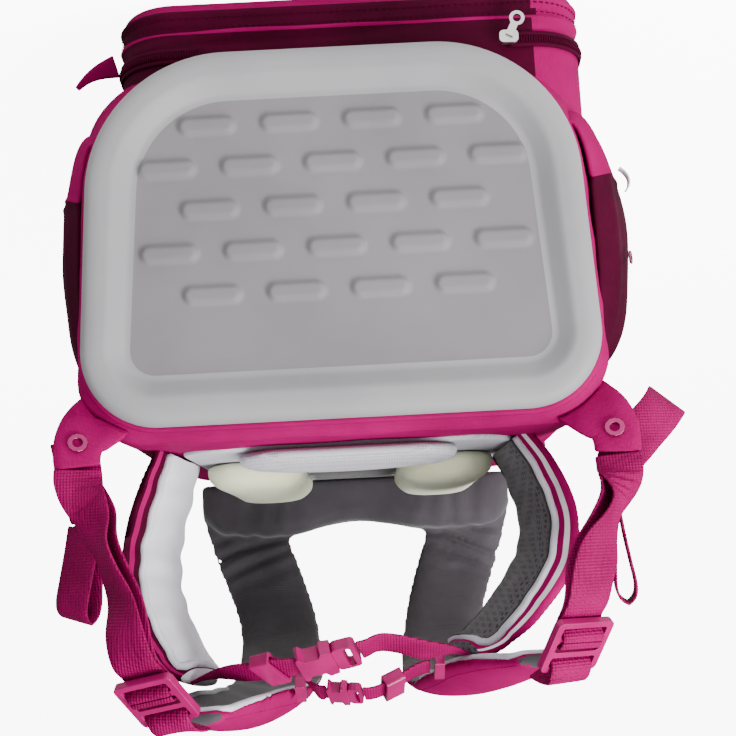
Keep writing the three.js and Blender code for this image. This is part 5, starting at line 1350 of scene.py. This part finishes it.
def merged(name, meshes, finishes, slot_name, *nodes):
    shape = bmesh.new()
    for mesh in meshes:
        shape.from_mesh(mesh)
    shape.faces.ensure_lookup_table()
    shape.faces.index_update()
    lookup = BVHTree.FromBMesh(shape)
    numbers = [face.material_index for face in shape.faces]
    union = bpy.data.meshes.new(name)
    shape.to_mesh(union)
    piece = add_object(name, union)
    remesh_finely(piece, HARNESS_VOXEL)
    shape.clear()
    shape.from_mesh(piece.data)
    for _ in range(SMOOTHING):
        bmesh.ops.smooth_vert(shape, verts=shape.verts, factor=0.5, use_axis_x=True, use_axis_y=True,
                              use_axis_z=True)
    for face in shape.faces:
        face.smooth = True
        face.material_index = numbers[lookup.find_nearest(face.calc_center_median())[2]]
    piece.data.materials.clear()
    for finish in finishes:
        piece.data.materials.append(finish)
    shape.to_mesh(piece.data)
    shape.free()
    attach(piece, "root")
    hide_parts(*nodes)
    return piece


harness = merged("harness_padding", [yoke_mesh] + strap_meshes, [lining, bag_cloth], "lining",
                 "yoke", "shoulder_strap_left", "shoulder_strap_right")
print("harness:", len(harness.data.polygons), "faces")

# %% [markdown]
# The hip wings curl out of the back like two ears. The left one shows a pale, crumpled lining, and its
# outside
# is painted shade: the near-black copy of the bag cloth, crossed by a band of bag cloth. The right one is
# lined with honeycomb mesh with a black binding, and its outside has two light stripes.

# %% Hip wings
WING_MIDDLE = 108.0
WING_WIDTH = 104.0
WING_THICKNESS = 23.0
WING_REACH = 133.0
WING_ROWS = {
    "left": named("rise side climb wide thick turn", [
        (-0.02, 0.74, 0, 0.94, 0.7, 3),
        (0.14, 0.8, 0, 1, 0.95, 3),
        (0.38, 0.865, -0.01, 1, 1, 4),
        (0.6, 0.87, -0.03, 0.97, 1, 4),
        (0.8, 0.805, -0.08, 0.88, 0.9, 4),
        (0.94, 0.72, -0.15, 0.7, 0.75, 4),
        (1, 0.65, -0.2, 0.42, 0.5, 4),
    ]),
    "right": named("rise side climb wide thick turn", [
        (-0.02, 0.69, 0, 0.94, 0.7, -3),
        (0.14, 0.785, 0, 1, 0.95, -4),
        (0.36, 0.85, -0.01, 1, 1.1, -5),
        (0.58, 0.815, -0.03, 0.97, 1.1, -5),
        (0.78, 0.67, -0.08, 0.88, 0.95, -5),
        (0.9, 0.53, -0.16, 0.66, 0.7, -5),
        (0.94, 0.42, -0.23, 0.38, 0.45, -5),
    ]),
}
# The left wing's outer finish is painted shade, for the side that lies in shade.
WINGS = [
    {"hand": "left", "side": 1, "crown": 0.28, "belly": 0.72, "lining": pale_lining, "outer": shade_and_dark_cloth,
     "stripe": bag_cloth, "stripes": [(0.36, 0.5)], "folds": 0.9, "seed": 91},
    {"hand": "right", "side": -1, "crown": 0.72, "belly": 0.28, "lining": air_mesh, "outer": bag_cloth,
     "stripe": reflective, "stripes": [(0.2, 0.27), (0.42, 0.49)], "folds": 0.5, "seed": 101},
]
WING_TIP = 5


def wing_paint(stripes, rows, lining_first):
    """0 for the lining, 1 for the outer cloth and 2 for its stripes."""
    shows = lining_mask(rows, lining_first, 0, WING_TIP)

    def number(r, c):
        place = (c - (PAD_COUNT - lining_first)) / (PAD_COUNT - 1)
        striped = np.isin(c - lining_first, (1, 2, PAD_COUNT - 4, PAD_COUNT - 3))
        for low, high in stripes:
            striped |= (place > low) & (place < high)
        return np.where(shows(r, c), 0, np.where(striped, 2, 1))
    return number


wing_seams = []
for wing in WINGS:
    rows = [[wing["side"] * row["side"] * HALF, WING_MIDDLE + row["climb"] * WING_WIDTH,
             BACK_Z + row["rise"] * WING_REACH, row["wide"] * WING_WIDTH, row["thick"] * WING_THICKNESS, 0.0,
             row["turn"]] for row in WING_ROWS[wing["hand"]]]
    grid = swept(rows, 110, ACROSS_Y,
                 lambda line: pad_section(line[3], line[4] * wing["crown"], line[4] * wing["belly"]))
    grid = grid[3:]
    lining_first = PAD_COUNT if wing["side"] > 0 else 0
    outer_first = PAD_COUNT - lining_first
    inner = slice(PAD_COUNT, 2 * PAD_COUNT) if lining_first else LINING
    height = wing["folds"]
    grid = crumpled(grid, lengths_of(grid), 55, 60, 21, height, inner, wing["seed"])
    grid += facing(grid, True) * (ripple(grid, 30, wing["seed"] + 1) * height * 0.5)[..., None]
    mesh = ring_mesh(f"wing_padding_{wing['hand']}", grid, capped=True,
                     paint=wing_paint(wing["stripes"], len(grid), lining_first),
                     finishes=[wing["lining"], wing["outer"], wing["stripe"]])
    piece = make_piece(mesh.name, mesh, "bag_cloth", f"hip_wing_{wing['hand']}")
    rim = even(rim_path(grid, lining_first, 0, WING_TIP))
    tube(f"wing_piping_{wing['hand']}", rim, 2.3, piping_cloth, "pale_lining", sides=12)
    wing_seams += [along_face(grid, outer_first, 0.25)[:-8], along_face(grid, outer_first, 0.75)[:-8]]
    if wing["side"] < 0:
        inwards = (rim.mean(axis=0) - rim) * [0.02, 0.07, 0.02]
        tube("wing_binding_right", rim + inwards + [1.0, 0, 0], 2.0, binding, "mesh", sides=10)
    print(mesh.name, len(mesh.polygons), "faces")

# %% [markdown]
# Webbing, tabs and loops keep the line of their solids. Each copy is welded, its triangles are joined
# into long strips, the long edges are creased, and a subdivision then bends it as smoothly as woven
# band bends.

# %% Webbings, tabs, loops and the handle
BANDS = [
    {"finish": bag_cloth, "slot": "bag_cloth", "nodes": ["corner_tab_left", "corner_tab_right"]},
    {"finish": webbing, "slot": "bag_cloth", "nodes": [
        "lower_webbing_left", "lower_webbing_right", "webbing_tail_left", "webbing_tail_right",
        "pull_loop_left", "pull_loop_right", "strap_anchor_left", "strap_anchor_right",
        "hip_webbing_left", "hip_webbing_right", "chest_webbing_left", "chest_webbing_right",
        "carry_handle"]},
    {"finish": pale_lining, "slot": "pale_lining", "nodes": ["side_loop"]},
    {"finish": bag_cloth, "slot": "bag_cloth", "nodes": ["side_tab"]},
]
SHARP = math.radians(50)
CREASE = 0.75
BAND_LEVELS = 2


def band_copy(node, finish, slot):
    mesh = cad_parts[node].data.copy()
    mesh.name = node + "_band"
    mesh.materials.clear()
    mesh.materials.append(finish)
    with edited(mesh) as shape:
        bmesh.ops.remove_doubles(shape, verts=shape.verts, dist=2e-6)
        bmesh.ops.join_triangles(shape, faces=shape.faces, angle_face_threshold=1.2,
                                 angle_shape_threshold=1.4)
        creases = shape.edges.layers.float.get("crease_edge") or shape.edges.layers.float.new("crease_edge")
        for edge in shape.edges:
            if edge.is_manifold and edge.calc_face_angle() > SHARP:
                edge[creases] = CREASE
        for face in shape.faces:
            face.material_index = 0
            face.smooth = True
    piece = make_piece(mesh.name, mesh, slot, node)
    finer = piece.modifiers.new("finer", "SUBSURF")
    finer.levels = finer.render_levels = BAND_LEVELS


for row in BANDS:
    for node in row["nodes"]:
        band_copy(node, row["finish"], row["slot"])
print("bands:", sum(len(row["nodes"]) for row in BANDS))

# %% [markdown]
# Hard pieces keep the solids of the frame. A weld joins their corners, and a fine bevel gives each
# edge the small round that a mould or a press leaves.

# %% Buckles, locks and small metal
HARD = [
    {"finish": acetal, "round": 0.7, "nodes": [
        "ladder_lock_left", "ladder_lock_right", "belt_socket", "belt_plug", "belt_adjuster", "chest_socket",
        "chest_plug", "chest_adjuster", "chest_clip_left", "chest_clip_right", "lid_clasp"]},
    {"finish": enamel, "round": 0.3, "nodes": ["tab_eyelet_left", "tab_eyelet_right", "side_eyelet"]},
    {"finish": nickel, "round": 0.3, "nodes": ["zip_slider", "zip_puller"]},
]
for row in HARD:
    for name in row["nodes"]:
        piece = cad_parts[name]
        piece.data.materials.clear()
        piece.data.materials.append(row["finish"])
        weld = piece.modifiers.new("weld", "WELD")
        weld.merge_threshold = 0.005 * MM
        edge = piece.modifiers.new("edge", "BEVEL")
        edge.width = row["round"] * MM
        edge.segments = 3
        edge.limit_method = "ANGLE"
        edge.angle_limit = math.radians(35)
print("hard pieces:", sum(len(row["nodes"]) for row in HARD))

# %% [markdown]
# Every seam is sewn. Rows of lockstitches run along the edges of the harness, round the pocket and
# beside the hems of the side pockets, a little proud of the cloth.

# %% Stitches
STITCH = (2.6, 0.7, 0.6)
STITCH_PITCH = 3.8
STITCH_OUT = 0.3
POCKET_STITCHES_Z = (12.6, 18.4)
HEM_ROW = 101
pocket_paths = []
for z in POCKET_STITCHES_Z:
    loop = pocket_loop(-STITCH_OUT, z)
    pocket_paths.append(even(np.concatenate([loop, loop[:1]])))
# The pocket's stitches take the near-black copy of the bag cloth: painted shade, like the bands of the wall
# they run through.
beads("pocket_stitches", pocket_paths, STITCH_PITCH, STITCH, shade_and_dark_cloth)
beads("harness_stitches", [even(path) for path in strap_seams + wing_seams], STITCH_PITCH, STITCH, bag_cloth)
side_paths = []
for row in SIDES:
    grid = side_grid(row["side"], row["fullness"], row["seed"])
    side_paths.append(even(grid[HEM_ROW, 6:-6]))
beads("hem_stitches", side_paths, STITCH_PITCH, STITCH, bag_cloth)
print("stitches sewn on", len(pocket_paths) + len(strap_seams) + len(wing_seams) + len(side_paths), "seams")
